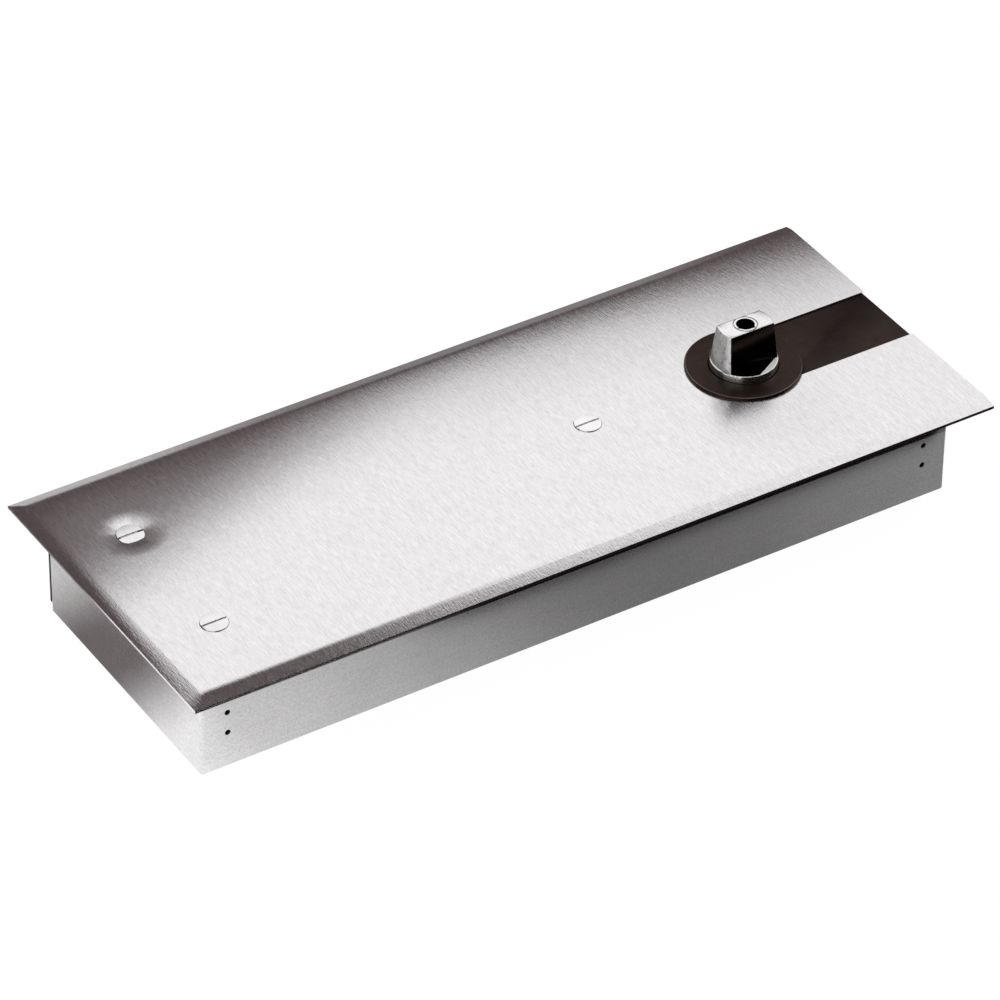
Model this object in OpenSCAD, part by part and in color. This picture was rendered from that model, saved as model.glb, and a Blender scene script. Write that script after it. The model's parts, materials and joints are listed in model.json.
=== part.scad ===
// Floor spring door closer: a heart-cam hydraulic closer in a sheet-steel
// cement box, with its cover plate, slot strip and rosette.
// Frame: origin on the spindle axis at the top face of the cover plate,
// +Z up along the spindle, +X toward the spindle end. Millimetres.

/* [Cover plate] */
// length of the cover plate
plate_l = 326; // [294:1:358]
// width of the cover plate
plate_w = 130; // [124:1:136]
// sheet thickness of the cover plate
plate_t = 0.9; // [0.7:0.1:1.2]
// from the spindle axis to the square-cut end of the plate
plate_front = 63.3; // [60:0.1:66]
// width of the pressed-down edge
edge_w = 6; // [4:0.5:7]
// how far the edge is pressed down
edge_drop = 1; // [0.4:0.1:1.6]
// width of the slot that lets the plate pass the spindle
slot_w = 30.4; // [28:0.1:32]
// radius of the round opening at the spindle
plate_hole_r = 17; // [16.5:0.1:17.6]

/* [Cement box] */
// length of the box
box_l = 307; // [277:1:337]
// width of the box
box_w = 106.4; // [96:0.2:117]
// depth of the box, from its rim to its underside
box_h = 40; // [39:0.5:46]
// sheet thickness of the box
box_t = 1.2; // [0.8:0.1:1.4]
// from the spindle axis to the end of the box
box_front = 52.6; // [52:0.1:55]
// outside bend radius of the upright corners
box_bend_r = 2.2; // [1.6:0.1:3]
// from each end of the box to its bracket rivets
rivet_inset = 10.5; // [9.5:0.5:12]

/* [Slot strip and rosette] */
// depth of the strip below the face of the plate
strip_sink = 0.6; // [0.3:0.1:0.8]
// thickness of the strip's wings
strip_t = 1.3; // [1:0.1:1.6]
// diameter of the rosette
rosette_d = 42.6; // [40:0.2:46]
// height of the rosette above the plate
rosette_h = 1.1; // [0.8:0.1:1.6]
// gap between the rosette and the spindle
rosette_gap = 0.7; // [0.4:0.1:1]

/* [Cover screws] */
// across the head
cover_head_d = 10; // [9:0.2:11]
// thread diameter
cover_thread_d = 5; // [4:0.5:6]
// from the far end of the plate to the screw pair
pair_x = 28.2; // [27.2:0.5:30.2]
// between the two screws of the pair
pair_w = 57.4; // [54:0.2:60]
// from the spindle axis back to the single screw
single_x = 66.3; // [65.8:0.1:67]

/* [Spindle] */
// diameter of the bearing collar
collar_d = 24.9; // [24.5:0.1:25]
// top of the collar above the plate
collar_rise = 4.1; // [2:0.1:6]
// height of the tapered drive above the collar
drive_h = 14.3; // [12:0.1:18]
// diameter of the drive cone at its foot
drive_foot_d = 24; // [23:0.1:24.4]
// diameter of the drive cone at its top
drive_top_d = 20.6; // [19:0.1:22]
// across the flats at the foot of the drive
flat_foot_w = 13.2; // [12:0.1:15]
// across the flats at the top of the drive
flat_top_w = 9.3; // [9:0.1:10.5]
// tapping diameter of the arm screw hole
arm_tap_d = 6.8; // [6:0.1:7]
// depth of the arm screw hole
arm_tap_depth = 22.4; // [20:0.2:25]

/* [Cam action] */
// distance of the resting roller from the spindle axis
pitch_r = 20.5; // [20:0.1:21.5]
// travel of the carriage for each degree of opening
rise_per_deg = 0.08; // [0.07:0.002:0.085]
// opening angle that the stops allow
open_angle = 130; // [110:1:135]
// diameter of the cam rollers
roller_d = 13; // [12:0.2:13.4]
// thickness of the heart cam
cam_h = 9; // [8.6:0.1:9]
// clearance between cam and rollers
cam_gap = 0.15; // [0.1:0.01:0.2]
// half width of the carriage plates
carriage_half_w = 18.5; // [18:0.1:20]
// diameter of the pull rod
rod_d = 9; // [8:0.1:9]

/* [Closer body] */
// bore of the spring cylinder
bore_d = 28; // [27.6:0.1:28]
// wall of the spring cylinder
bore_wall = 2.6; // [2:0.1:2.7]
// wall of the cam chamber
chamber_wall = 4.5; // [4:0.1:5]
// inner half width of the cam chamber
chamber_half_w = 29.5; // [29.3:0.1:30.5]
// length of the piston
piston_l = 20; // [18:0.5:21]
// wire of the outer closing spring
wire_outer = 4; // [3.6:0.1:4.2]
// wire of the inner closing spring
wire_inner = 2.8; // [2.4:0.1:3]
// turns of the outer closing spring
turns_outer = 12; // [10:1:13]
// turns of the inner closing spring
turns_inner = 17; // [14:1:19]

/* [Hidden] */
$fn = 48;

// named clearances
run_gap = 0.04;
seat_gap = 0.1;
side_gap = 0.3;

// finishes
steel = [0.74, 0.75, 0.76];
bright = [0.82, 0.82, 0.83];
dark = [0.13, 0.11, 0.10];
cast = [0.42, 0.43, 0.44];
brass = [0.78, 0.66, 0.40];
rubber = [0.08, 0.08, 0.08];
zinc = [0.68, 0.69, 0.70];

// cover plate
plate_x1 = plate_front;
plate_x0 = plate_front - plate_l;
plate_y = plate_w / 2;
under = -plate_t;

// box
rim = under;
box_x1 = box_front;
box_x0 = box_front - box_l;
box_y = box_w / 2;
box_z = rim - box_h;
box_in_y = box_y - box_t;
rivet_r = 1.1;
rivet_low = 14.4;
rivet_pitch = 8.6;
rivet_head_t = 0.9;
rivet_sink = 0.25;
rivet_z = [box_z + rivet_low, box_z + rivet_low + rivet_pitch];
near_x = box_x1 - rivet_inset;
far_x = box_x0 + rivet_inset;
seam_w = 0.5;
relief_r = 1.5;

// strip and rosette
strip_top = -strip_sink;
strip_low = under - strip_t;
strip_half = slot_w / 2 - seat_gap;
wing_half = strip_half + 5;
rosette_r = rosette_d / 2;
collar_r = collar_d / 2;
rosette_in_r = collar_r + rosette_gap;

// stack of the cam chamber, from the cam's middle plane
cam_z = -22;
cam_top = cam_z + cam_h / 2;
cam_low = cam_z - cam_h / 2;
link_t = 2.5;
link_gap = 0.1;
upper_link_z = cam_top + link_gap;
lower_link_z = cam_low - link_gap - link_t;
washer_t = 1;
washer_top = lower_link_z - 0.2;
washer_low = washer_top - washer_t;
lower_bearing_h = 6;
lower_bearing_z = washer_low - lower_bearing_h;
body_z = lower_bearing_z - 2.3;
floor_z = body_z + 3.7;
upper_bearing_z = upper_link_z + link_t + 0.4;
cover_top = -4.4;
cover_t = 3.6;
cover_low = cover_top - cover_t;
gasket_t = 0.4;
seat_z = cover_low - gasket_t;
seal_low = seat_z;
upper_bearing_top = seal_low - 0.5;

// spindle
cam_seat_r = 9.5;
foot_r = 8;
foot_clear = 0.2;
spindle_top = collar_rise + drive_h;
key_w = 4;
key_out = cam_seat_r + 2;
key_in = cam_seat_r - 2;
needle_r = 1;
upper_race_r = collar_r + 2 * needle_r + 2 * run_gap;
upper_shell_r = upper_race_r + 1.5;
lower_race_r = foot_r + 2 * needle_r + 2 * run_gap;
lower_shell_r = lower_race_r + 1.4;

// carriage
travel = rise_per_deg * open_angle;
roller_r = roller_d / 2;
near_roller_x = pitch_r;
far_roller_x = -(pitch_r + 180 * rise_per_deg);
pin_r = 3;
link_x1 = near_roller_x + 8.8;
block_x1 = far_roller_x - roller_r - 1.2;
block_l = 9.5;
block_w = 26;
block_x0 = block_x1 - block_l;
link_x0 = block_x0 - 0.5;
carriage_rivet_r = 2;
carriage_rivet_y = 9.5;
slot_run = travel + 1.4;

// chamber
chamber_x0 = link_x0 - 1.5;
chamber_x1 = link_x1 + travel + 0.8;
chamber_y = chamber_half_w;
outer_x0 = chamber_x0 - chamber_wall;
outer_x1 = chamber_x1 + chamber_wall;
outer_y = chamber_y + chamber_wall;
corner_boss_r = 5.2;
corner_in = 1.8;
corner_x = [chamber_x0 + corner_in, chamber_x1 - corner_in];
corner_y = chamber_y - corner_in;
lid_screw_r = 2;
lid_head_r = 3.5;
lid_head_t = 2.8;
lid_screw_l = 12;
lid_sink = 1.8;
shelf_t = 2;
fix_r = 2.5;
fix_hex = 8;
fix_head_t = 3.5;
fix_washer_t = 1;
nut_t = 4;
ear_y = (outer_y + box_in_y - shelf_t - rivet_head_t) / 2;
ear_r = 4.8;
ear_low = rivet_z[0] - 2.6;
ear_t = 6;
shelf_low = ear_low - shelf_t;
shelf_half = 8;
shelf_rise = 4;

// spring cylinder
rod_r = rod_d / 2;
bore_r = bore_d / 2;
barrel_r = bore_r + bore_wall;
bush_x1 = outer_x0 + 0.5;
screw_boss_r = 7;
wall_x0 = -(single_x + screw_boss_r + 0.7);
seat_t = 3;
body_x0 = box_x0 + 6.4;
plug_x0 = body_x0 + 5;
plug_l = 17;
plug_x1 = plug_x0 + plug_l;
plug_groove_x = plug_x0 + 10;
plug_groove_w = 2.4;
plug_hex = 12;
circlip_t = 1.3;
circlip_x = plug_x0 - circlip_t - 0.3;
piston_x0 = plug_x1 + 14;
piston_x1 = piston_x0 + piston_l;
piston_r = bore_r - run_gap;
rod_end_r = 3.5;
rod_nut_t = 5;
rod_nut_hex = 11;
piston_groove_x = piston_x0 + 6;
piston_groove_w = 4;
block_end_x = body_x0 + 24;
block_half = outer_y;
block_top = -8;
block_low = -36;
gallery_y = 20.5;
gallery_r = 2;
valve_x = block_end_x + 5;
valve_r = 4;
valve_boss_r = 7;
valve_top = block_top - 0.3;
rib_r = 5.5;
pair_at = max(plate_x0 + pair_x, body_x0 + screw_boss_r + 6.5);
cover_screw_at = [[pair_at, pair_w / 2, 15], [pair_at, -pair_w / 2, 15], [-single_x, 0, 11.5]];
head_r = cover_head_d / 2;
thread_r = cover_thread_d / 2;
head_cone = head_r - thread_r;
filler_x = chamber_x0 + 9;

// ---- shared shapes ----

// rounded rectangle between two corners
module rounded_bar(x0, x1, y0, y1, r) {
    translate([x0 + r, y0])
        square([x1 - x0 - 2 * r, y1 - y0]);
    translate([x0, y0 + r])
        square([x1 - x0, y1 - y0 - 2 * r]);
    for (x = [x0 + r, x1 - r], y = [y0 + r, y1 - r])
        translate([x, y])
            circle(r);
}

// solid bar with rounded upright edges
module bar(x0, x1, half, z0, z1, r) {
    translate([0, 0, z0])
        linear_extrude(z1 - z0)
            rounded_bar(x0, x1, -half, half, r);
}

// plain upright cylinder between two heights
module post(r, z0, z1) {
    translate([0, 0, z0])
        cylinder(r = r, h = z1 - z0);
}

// ring between two heights
module ring(r_in, r_out, z0, z1) {
    difference() {
        post(r_out, z0, z1);
        post(r_in, z0 - 1, z1 + 1);
    }
}

// cylinder lying along X at the cylinder axis
module rod_x(r, x0, x1, y = 0, z = cam_z) {
    translate([x0, y, z])
        rotate([0, 90, 0])
            cylinder(r = r, h = x1 - x0);
}

// hexagon standing up, by its distance across flats
module hex_post(af, z0, z1) {
    translate([0, 0, z0])
        cylinder(r = af / sqrt(3), h = z1 - z0, $fn = 6);
}

// hexagon lying along X
module hex_x(af, x0, x1) {
    translate([x0, 0, cam_z])
        rotate([0, 90, 0])
            cylinder(r = af / sqrt(3), h = x1 - x0, $fn = 6);
}

// ring lying along X
module ring_x(r_in, r_out, x0, x1) {
    difference() {
        rod_x(r_out, x0, x1);
        rod_x(r_in, x0 - 1, x1 + 1);
    }
}

// ---- box ----

function drop_curve(w, d, n) = [for (i = [0 : n]) [w * i / n, d * (1 - cos(180 * i / n)) / 2]];

// block with rounded upright edges and a rounded foot
module tray_block(x0, x1, half, z0, z1, r, foot) {
    intersection() {
        bar(x0, x1, half, z0, z1, r);
        translate([0, half + 1, 0])
            rotate([90, 0, 0])
                linear_extrude(2 * half + 2)
                    rounded_bar(x0, x1, z0, z1 + 2 * foot, foot);
        translate([x0 - 1, 0, 0])
            rotate([90, 0, 90])
                linear_extrude(x1 - x0 + 2)
                    rounded_bar(-half, half, z0, z1 + 2 * foot, foot);
    }
}

module cement_box() {
    color(zinc)
    difference() {
        tray_block(box_x0, box_x1, box_y, box_z, rim, box_bend_r, 1.6);
        tray_block(box_x0 + box_t, box_x1 - box_t, box_in_y, box_z + box_t, rim + 1,
            box_bend_r - box_t, 0.4);
        // open seams where the end walls meet the long walls
        translate([box_x0 - 1, box_in_y - seam_w, box_z + 4])
            cube([box_t + 2, seam_w, box_h]);
        translate([box_x1 - box_t - 1, seam_w - box_in_y - seam_w, box_z + 4])
            cube([box_t + 2, seam_w, box_h]);
        // relief notches at the foot of each corner
        for (x = [box_x0 + 1, box_x1 - 1], y = [-box_y + 1, box_y - 1])
            translate([x, y, box_z - 1])
                cylinder(r = relief_r, h = 2.4);
        // rivet holes of the fixing brackets
        for (x = [near_x, far_x], z = rivet_z)
            translate([x, 0, z])
                rotate([90, 0, 0])
                    cylinder(r = rivet_r, h = box_w + 2, center = true);
        // notch for the slot strip
        translate([box_x1 - box_t - 1, -wing_half - 0.2, strip_low - seat_gap])
            cube([box_t + 2, 2 * wing_half + 0.4, strip_t + 1]);
    }
}

// one angle bracket against the long wall on the +Y side
module bracket(x) {
    difference() {
        union() {
            translate([x - shelf_half, box_in_y - shelf_t, shelf_low])
                cube([2 * shelf_half, shelf_t, rivet_z[1] + shelf_rise - shelf_low]);
            translate([x - shelf_half, ear_y - ear_r, shelf_low])
                cube([2 * shelf_half, box_in_y - ear_y + ear_r, shelf_t]);
        }
        for (z = rivet_z)
            translate([x, box_in_y, z])
                rotate([90, 0, 0])
                    cylinder(r = rivet_r, h = 4 * shelf_t, center = true);
        translate([x, ear_y, 0])
            post(fix_r, shelf_low - 1, ear_low + 1);
    }
}

module bracket_near_end() {
    color(zinc)
    for (m = [0, 1])
        mirror([0, m, 0])
            bracket(near_x);
}

module bracket_far_end() {
    color(zinc)
    for (m = [0, 1])
        mirror([0, m, 0])
            bracket(far_x);
}

module bracket_rivets() {
    color(steel)
    for (x = [near_x, far_x], z = rivet_z, m = [0, 1])
        mirror([0, m, 0])
            translate([x, 0, z])
                rotate([-90, 0, 0])
                    difference() {
                        union() {
                            post(rivet_r, box_in_y - shelf_t - rivet_head_t / 2, box_y - rivet_sink);
                            post(2 * rivet_r, box_in_y - shelf_t - rivet_head_t, box_in_y - shelf_t);
                        }
                        post(0.55 * rivet_r, box_y - 1.8, box_y);
                    }
}

module bracket_nuts() {
    color(zinc)
    for (x = [near_x, far_x], y = [-ear_y, ear_y])
        translate([x, y, 0])
            difference() {
                hex_post(fix_hex, shelf_low - nut_t, shelf_low);
                post(fix_r, shelf_low - nut_t - 1, shelf_low + 1);
            }
}

// ---- cover ----

// outer form of the pressed cover, its far end and both sides turned down
module cover_form() {
    n = 7;
    curve = drop_curve(edge_w, edge_drop, n);
    side = [for (p = curve) [plate_y - edge_w + p[0], -p[1]]];
    far = [for (p = curve) [plate_x0 + edge_w - p[0], -p[1]]];
    low = -edge_drop - 4;
    intersection() {
        translate([0, plate_y + 1, 0])
            rotate([90, 0, 0])
                linear_extrude(plate_w + 2)
                    polygon(concat([[plate_x1, low], [plate_x1, 0]], far, [[plate_x0, low]]));
        translate([plate_x0 - 1, 0, 0])
            rotate([90, 0, 90])
                linear_extrude(plate_l + 2)
                    polygon(concat([[plate_y, low]],
                        [for (i = [n : -1 : 0]) side[i]],
                        [for (p = side) [-p[0], p[1]]],
                        [[-plate_y, low]]));
    }
}

module cover_plate() {
    color(bright)
    difference() {
        cover_form();
        translate([0, 0, -plate_t])
            cover_form();
        translate([plate_x0 - 1, -plate_y - 1, -edge_drop - 6])
            cube([plate_l + 2, plate_w + 2, 6 - plate_t]);
        translate([0, -slot_w / 2, -5])
            cube([plate_l, slot_w, 10]);
        post(plate_hole_r, -5, 5);
        for (p = cover_screw_at)
            translate([p[0], p[1], -head_cone])
                cylinder(r1 = thread_r, r2 = head_r + 0.5, h = head_cone + 0.5);
    }
}

module slot_strip() {
    color(dark)
    difference() {
        union() {
            translate([0, -wing_half, strip_low])
                cube([plate_x1 - 0.6, 2 * wing_half, strip_t]);
            translate([0, -strip_half, strip_low])
                cube([plate_x1 - 0.6, 2 * strip_half, strip_top - strip_low]);
        }
        post(plate_hole_r + 0.2, -5, 5);
    }
}

module spindle_rosette() {
    color(dark)
    rotate_extrude()
        polygon([[rosette_in_r, under - 0.6], [plate_hole_r - seat_gap, under - 0.6],
            [plate_hole_r - seat_gap, 0], [rosette_r, 0], [rosette_r, rosette_h - 0.3],
            [rosette_r - 0.3, rosette_h], [rosette_in_r + 0.3, rosette_h],
            [rosette_in_r, rosette_h - 0.3]]);
}

module cover_screws() {
    rise = 0.6;
    dome_r = (head_r * head_r + rise * rise) / (2 * rise);
    color(steel)
    for (p = cover_screw_at)
        translate([p[0], p[1], 0])
            difference() {
                union() {
                    translate([0, 0, -head_cone])
                        cylinder(r1 = thread_r, r2 = head_r, h = head_cone);
                    intersection() {
                        translate([0, 0, rise - dome_r])
                            sphere(r = dome_r, $fn = 96);
                        post(head_r, 0, rise + 1);
                    }
                    post(thread_r, -p[2] + 1.5, -head_cone);
                }
                translate([-head_r - 1, -0.6, -0.9])
                    cube([cover_head_d + 2, 1.2, 3]);
            }
}

// ---- closer body ----

// fixing ear on the +Y side, from inside the casting to the screw
module ear(x) {
    translate([x, ear_y, 0])
        post(ear_r, ear_low, ear_low + ear_t);
    translate([x - ear_r, outer_y - 4, ear_low])
        cube([2 * ear_r, ear_y - outer_y + 4, ear_t]);
}

module closer_housing() {
    color(cast)
    difference() {
        union() {
            difference() {
                union() {
                    bar(outer_x0, outer_x1, outer_y, body_z, seat_z, 6);
                    rod_x(barrel_r, body_x0, outer_x0 + 2);
                    for (y = [-gallery_y, gallery_y])
                        rod_x(rib_r, body_x0, outer_x0 + 2, y);
                    translate([body_x0, -gallery_y, cam_z - 3])
                        cube([outer_x0 + 2 - body_x0, 2 * gallery_y, 6]);
                    bar(body_x0, block_end_x, block_half, block_low, block_top, 4);
                    for (y = [-gallery_y, gallery_y])
                        translate([valve_x, y, 0])
                            post(valve_boss_r, cam_z - 6, block_top);
                    for (p = cover_screw_at)
                        translate([p[0], p[1], 0])
                            post(screw_boss_r, cam_z, under);
                    for (x = [near_x, far_x], m = [0, 1])
                        mirror([0, m, 0])
                            ear(x);
                }
                // nothing of the barrel stands above the cover's seat
                translate([outer_x0, -outer_y, seat_z])
                    cube([outer_x1 - outer_x0, 2 * outer_y, 10]);
                // cam chamber, open at the top
                difference() {
                    bar(chamber_x0, chamber_x1, chamber_y, floor_z, seat_z + 1, 4);
                    for (x = corner_x, y = [-corner_y, corner_y])
                        translate([x, y, 0])
                            post(corner_boss_r, floor_z - 1, seat_z + 2);
                }
            }
            post(lower_shell_r + 2.5, body_z + 1, washer_low);
        }
        // lower bearing
        post(lower_shell_r, lower_bearing_z, washer_low + 1);
        // spring cylinder, open at the far end
        rod_x(bore_r, body_x0 - 1, wall_x0);
        rod_x(bore_r + 1.2, circlip_x - 0.1, circlip_x + circlip_t + 0.1);
        rod_x(rod_r + 2, wall_x0 - 1, bush_x1);
        rod_x(rod_r + side_gap, wall_x0 - 1, chamber_x0 + 1);
        // oil galleries and regulating valves
        for (y = [-gallery_y, gallery_y]) {
            rod_x(gallery_r, valve_x - 2, chamber_x0 + 1, y);
            translate([valve_x, y, 0])
                post(valve_r, cam_z - 3, block_top + 1);
            translate([valve_x, y / 2 + sign(y) * 3, cam_z])
                rotate([90, 0, 0])
                    cylinder(r = 1.5, h = gallery_y, center = true);
        }
        // tapped holes of the cover and bearing cover screws
        for (p = cover_screw_at)
            translate([p[0], p[1], 0]) {
                post(thread_r, -p[2], under + 1);
                translate([0, 0, -head_cone])
                    cylinder(r1 = thread_r, r2 = head_r, h = head_cone);
            }
        for (x = corner_x, y = [-corner_y, corner_y])
            translate([x, y, 0])
                post(lid_screw_r, seat_z - lid_screw_l - 2, seat_z + 1);
        // fixing holes in the ears
        for (x = [near_x, far_x], y = [-ear_y, ear_y])
            translate([x, y, 0])
                post(fix_r + side_gap, ear_low - 1, ear_low + ear_t + 1);
    }
}

module body_fixing_screws() {
    top = ear_low + ear_t + fix_washer_t;
    color(zinc)
    for (x = [near_x, far_x], y = [-ear_y, ear_y])
        translate([x, y, 0]) {
            hex_post(fix_hex, top, top + fix_head_t);
            post(fix_r, shelf_low - nut_t - 1, top);
        }
}

module body_fixing_washers() {
    top = ear_low + ear_t;
    color(zinc)
    for (x = [near_x, far_x], y = [-ear_y, ear_y])
        translate([x, y, 0])
            ring(fix_r + 0.2, ear_r, top, top + fix_washer_t);
}

module bearing_cover() {
    color(cast)
    difference() {
        union() {
            bar(outer_x0, outer_x1, outer_y, cover_low, cover_top, 6);
            post(upper_shell_r + 3, upper_bearing_z, cover_low);
        }
        post(upper_shell_r, upper_bearing_z - 1, upper_bearing_top);
        post(collar_r + 1.6, upper_bearing_z - 1, cover_top + 1);
        post(upper_shell_r + 0.5, seal_low, cover_top + 1);
        for (x = corner_x, y = [-corner_y, corner_y])
            translate([x, y, 0]) {
                post(lid_screw_r, cover_low - 1, cover_top + 1);
                post(lid_head_r + 0.3, cover_top - lid_sink, cover_top + 1);
            }
        translate([filler_x, 0, 0])
            post(3, cover_low - 1, cover_top + 1);
    }
}

module bearing_cover_screws() {
    color(zinc)
    for (x = corner_x, y = [-corner_y, corner_y])
        translate([x, y, 0])
            difference() {
                union() {
                    post(lid_head_r, cover_top - lid_sink, cover_top - lid_sink + lid_head_t);
                    post(lid_screw_r, seat_z - lid_screw_l, cover_top - lid_sink);
                }
                hex_post(lid_head_r - 0.5, cover_top - lid_sink + 0.8, cover_top + lid_head_t);
            }
}

module cover_gasket() {
    color(rubber)
    difference() {
        bar(outer_x0, outer_x1, outer_y, seat_z, cover_low, 6);
        difference() {
            bar(chamber_x0, chamber_x1, chamber_y, seat_z - 1, cover_low + 1, 4);
            for (x = corner_x, y = [-corner_y, corner_y])
                translate([x, y, 0])
                    post(corner_boss_r, seat_z - 2, cover_low + 2);
        }
        for (x = corner_x, y = [-corner_y, corner_y])
            translate([x, y, 0])
                post(2, seat_z - 1, cover_low + 1);
    }
}

module shaft_seal() {
    lip = collar_r + run_gap;
    out = upper_shell_r + 0.5;
    color(rubber)
    rotate_extrude()
        polygon([[lip + 0.8, seal_low], [out, seal_low], [out, cover_top - 0.2],
            [lip + 1.6, cover_top - 0.2], [lip + 1.2, cover_top - 1.2],
            [lip + 0.1, cover_top - 1.6], [lip, cover_top - 2.2], [lip + 0.8, cover_top - 2.8]]);
}

// ---- bearings ----

module upper_bearing_shell() {
    color(steel)
    ring(upper_race_r, upper_shell_r, upper_bearing_z, upper_bearing_top);
}

// needles and their cage as one turning piece
module needle_cage(shaft_r, z0, z1, count) {
    mid = shaft_r + run_gap + needle_r;
    ring(mid - 0.3, mid + 0.3, z0, z0 + 0.8);
    ring(mid - 0.3, mid + 0.3, z1 - 0.8, z1);
    for (i = [0 : count - 1])
        rotate(i * 360 / count)
            translate([mid, 0, 0])
                post(needle_r, z0 + 0.4, z1 - 0.4);
}

module upper_needle_cage() {
    color(bright)
    needle_cage(collar_r, upper_bearing_z + 0.2, upper_bearing_top - 0.2, 16);
}

module lower_bearing_shell() {
    color(steel)
    ring(lower_race_r, lower_shell_r, lower_bearing_z, washer_low);
}

module lower_needle_cage() {
    color(bright)
    needle_cage(foot_r, lower_bearing_z + 0.2, washer_low - 0.2, 12);
}

module thrust_washer() {
    color(brass)
    ring(foot_r + 0.2, lower_shell_r + 1.5, washer_low, washer_top);
}

// ---- spindle ----

module spindle() {
    color(steel)
    difference() {
        union() {
            post(foot_r, lower_bearing_z + foot_clear, washer_top);
            post(cam_seat_r, washer_top, cam_top);
            post(collar_r, cam_top, collar_rise - 0.4);
            translate([0, 0, collar_rise - 0.4])
                cylinder(r1 = collar_r, r2 = drive_foot_d / 2, h = 0.4);
            // tapered drive with two tapering flats
            intersection() {
                union() {
                    translate([0, 0, collar_rise])
                        cylinder(d1 = drive_foot_d, d2 = drive_top_d, h = drive_h - 0.5);
                    translate([0, 0, spindle_top - 0.5])
                        cylinder(d1 = drive_top_d, d2 = drive_top_d - 1, h = 0.5);
                }
                translate([-collar_r, 0, 0])
                    rotate([90, 0, 90])
                        linear_extrude(collar_d)
                            polygon([[-flat_foot_w / 2, collar_rise - 1],
                                [flat_foot_w / 2, collar_rise - 1],
                                [flat_foot_w / 2, collar_rise],
                                [flat_top_w / 2, spindle_top],
                                [-flat_top_w / 2, spindle_top],
                                [-flat_foot_w / 2, collar_rise]]);
            }
        }
        post(arm_tap_d / 2, spindle_top - arm_tap_depth, spindle_top + 1);
        translate([0, 0, spindle_top - 0.9])
            cylinder(r1 = arm_tap_d / 2, r2 = arm_tap_d / 2 + 0.9, h = 0.9);
        // keyway
        translate([-key_w / 2, key_in, cam_low])
            cube([key_w, collar_d, cam_h]);
    }
}

// inner parallel of the pitch curve on one side of the cam
function pitch(a) = pitch_r + rise_per_deg * a;
function slope() = rise_per_deg * 180 / PI;
function side_point(a, q) = let (r = pitch(a), s = slope(), n = norm([r, s]))
    [r * cos(a) - q * (r * cos(a) + s * sin(a)) / n,
     r * sin(a) - q * (r * sin(a) - s * cos(a)) / n];
function cam_side(q) = [for (a = [0 : 6 : 180]) if (side_point(a, q)[1] > 0) side_point(a, q)];

module heart_profile() {
    q = roller_r + cam_gap;
    half = cam_side(q);
    nest = atan(slope() / pitch_r);
    dent = [for (t = [-nest : nest / 3 : nest]) [pitch_r - q * cos(t), -q * sin(t)]];
    low = [for (i = [len(half) - 1 : -1 : 1]) [half[i][0], -half[i][1]]];
    polygon(concat([for (i = [1 : len(half) - 1]) half[i]], low,
        [for (i = [len(dent) - 1 : -1 : 0]) dent[i]]));
}

module heart_cam() {
    color(steel)
    translate([0, 0, cam_low])
        difference() {
            linear_extrude(cam_h)
                heart_profile();
            translate([0, 0, -1])
                cylinder(r = cam_seat_r, h = cam_h + 2);
            translate([-key_w / 2, 0, -1])
                cube([key_w, key_out, cam_h + 2]);
        }
}

module cam_key() {
    color(bright)
    translate([-key_w / 2, key_in, cam_low])
        cube([key_w, key_out - key_in, cam_h]);
}

// ---- carriage ----

// one side plate of the carriage with its slot for the spindle
module carriage_plate(z, slot_r) {
    difference() {
        bar(link_x0, link_x1, carriage_half_w, z, z + link_t, 9);
        post(slot_r, z - 1, z + link_t + 1);
        translate([-slot_run, 0, 0])
            post(slot_r, z - 1, z + link_t + 1);
        translate([-slot_run, -slot_r, z - 1])
            cube([slot_run, 2 * slot_r, link_t + 2]);
        for (x = [near_roller_x, far_roller_x])
            translate([x, 0, 0])
                post(pin_r, z - 1, z + link_t + 1);
        for (y = [-carriage_rivet_y, carriage_rivet_y])
            translate([block_x0 + block_l / 2, y, 0])
                post(carriage_rivet_r, z - 1, z + link_t + 1);
    }
}

module carriage_plate_upper() {
    color(steel)
    carriage_plate(upper_link_z, collar_r + side_gap);
}

module carriage_plate_lower() {
    color(steel)
    carriage_plate(lower_link_z, cam_seat_r + side_gap);
}

module carriage_end_block() {
    color(steel)
    difference() {
        translate([block_x0, -block_w / 2, lower_link_z + link_t])
            cube([block_l, block_w, upper_link_z - lower_link_z - link_t]);
        rod_x(rod_r, block_x0 - 1, block_x1 + 1);
        for (y = [-carriage_rivet_y, carriage_rivet_y])
            translate([block_x0 + block_l / 2, y, 0])
                post(carriage_rivet_r, lower_link_z, upper_link_z + link_t);
    }
}

module carriage_rivets() {
    color(bright)
    for (y = [-carriage_rivet_y, carriage_rivet_y])
        translate([block_x0 + block_l / 2, y, 0])
            post(carriage_rivet_r, lower_link_z, upper_link_z + link_t);
}

module roller(x) {
    translate([x, 0, 0])
        ring(pin_r + run_gap, roller_r, cam_low + 0.1, cam_top - 0.1);
}

module roller_near() {
    color(bright)
    roller(near_roller_x);
}

module roller_far() {
    color(bright)
    roller(far_roller_x);
}

module roller_pins() {
    color(steel)
    for (x = [near_roller_x, far_roller_x])
        translate([x, 0, 0])
            post(pin_r, lower_link_z, upper_link_z + link_t);
}

module pull_rod() {
    color(steel)
    union() {
        rod_x(rod_r, piston_x1 + seat_t, block_x1);
        rod_x(rod_end_r, piston_x0 - rod_nut_t - 1, piston_x1 + seat_t);
    }
}

module rod_bush() {
    color(brass)
    ring_x(rod_r + run_gap, rod_r + 2, wall_x0, bush_x1);
}

module rod_nut() {
    color(zinc)
    difference() {
        hex_x(rod_nut_hex, piston_x0 - rod_nut_t, piston_x0);
        rod_x(rod_end_r, piston_x0 - rod_nut_t - 1, piston_x0 + 1);
    }
}

// ---- piston and springs ----

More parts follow.
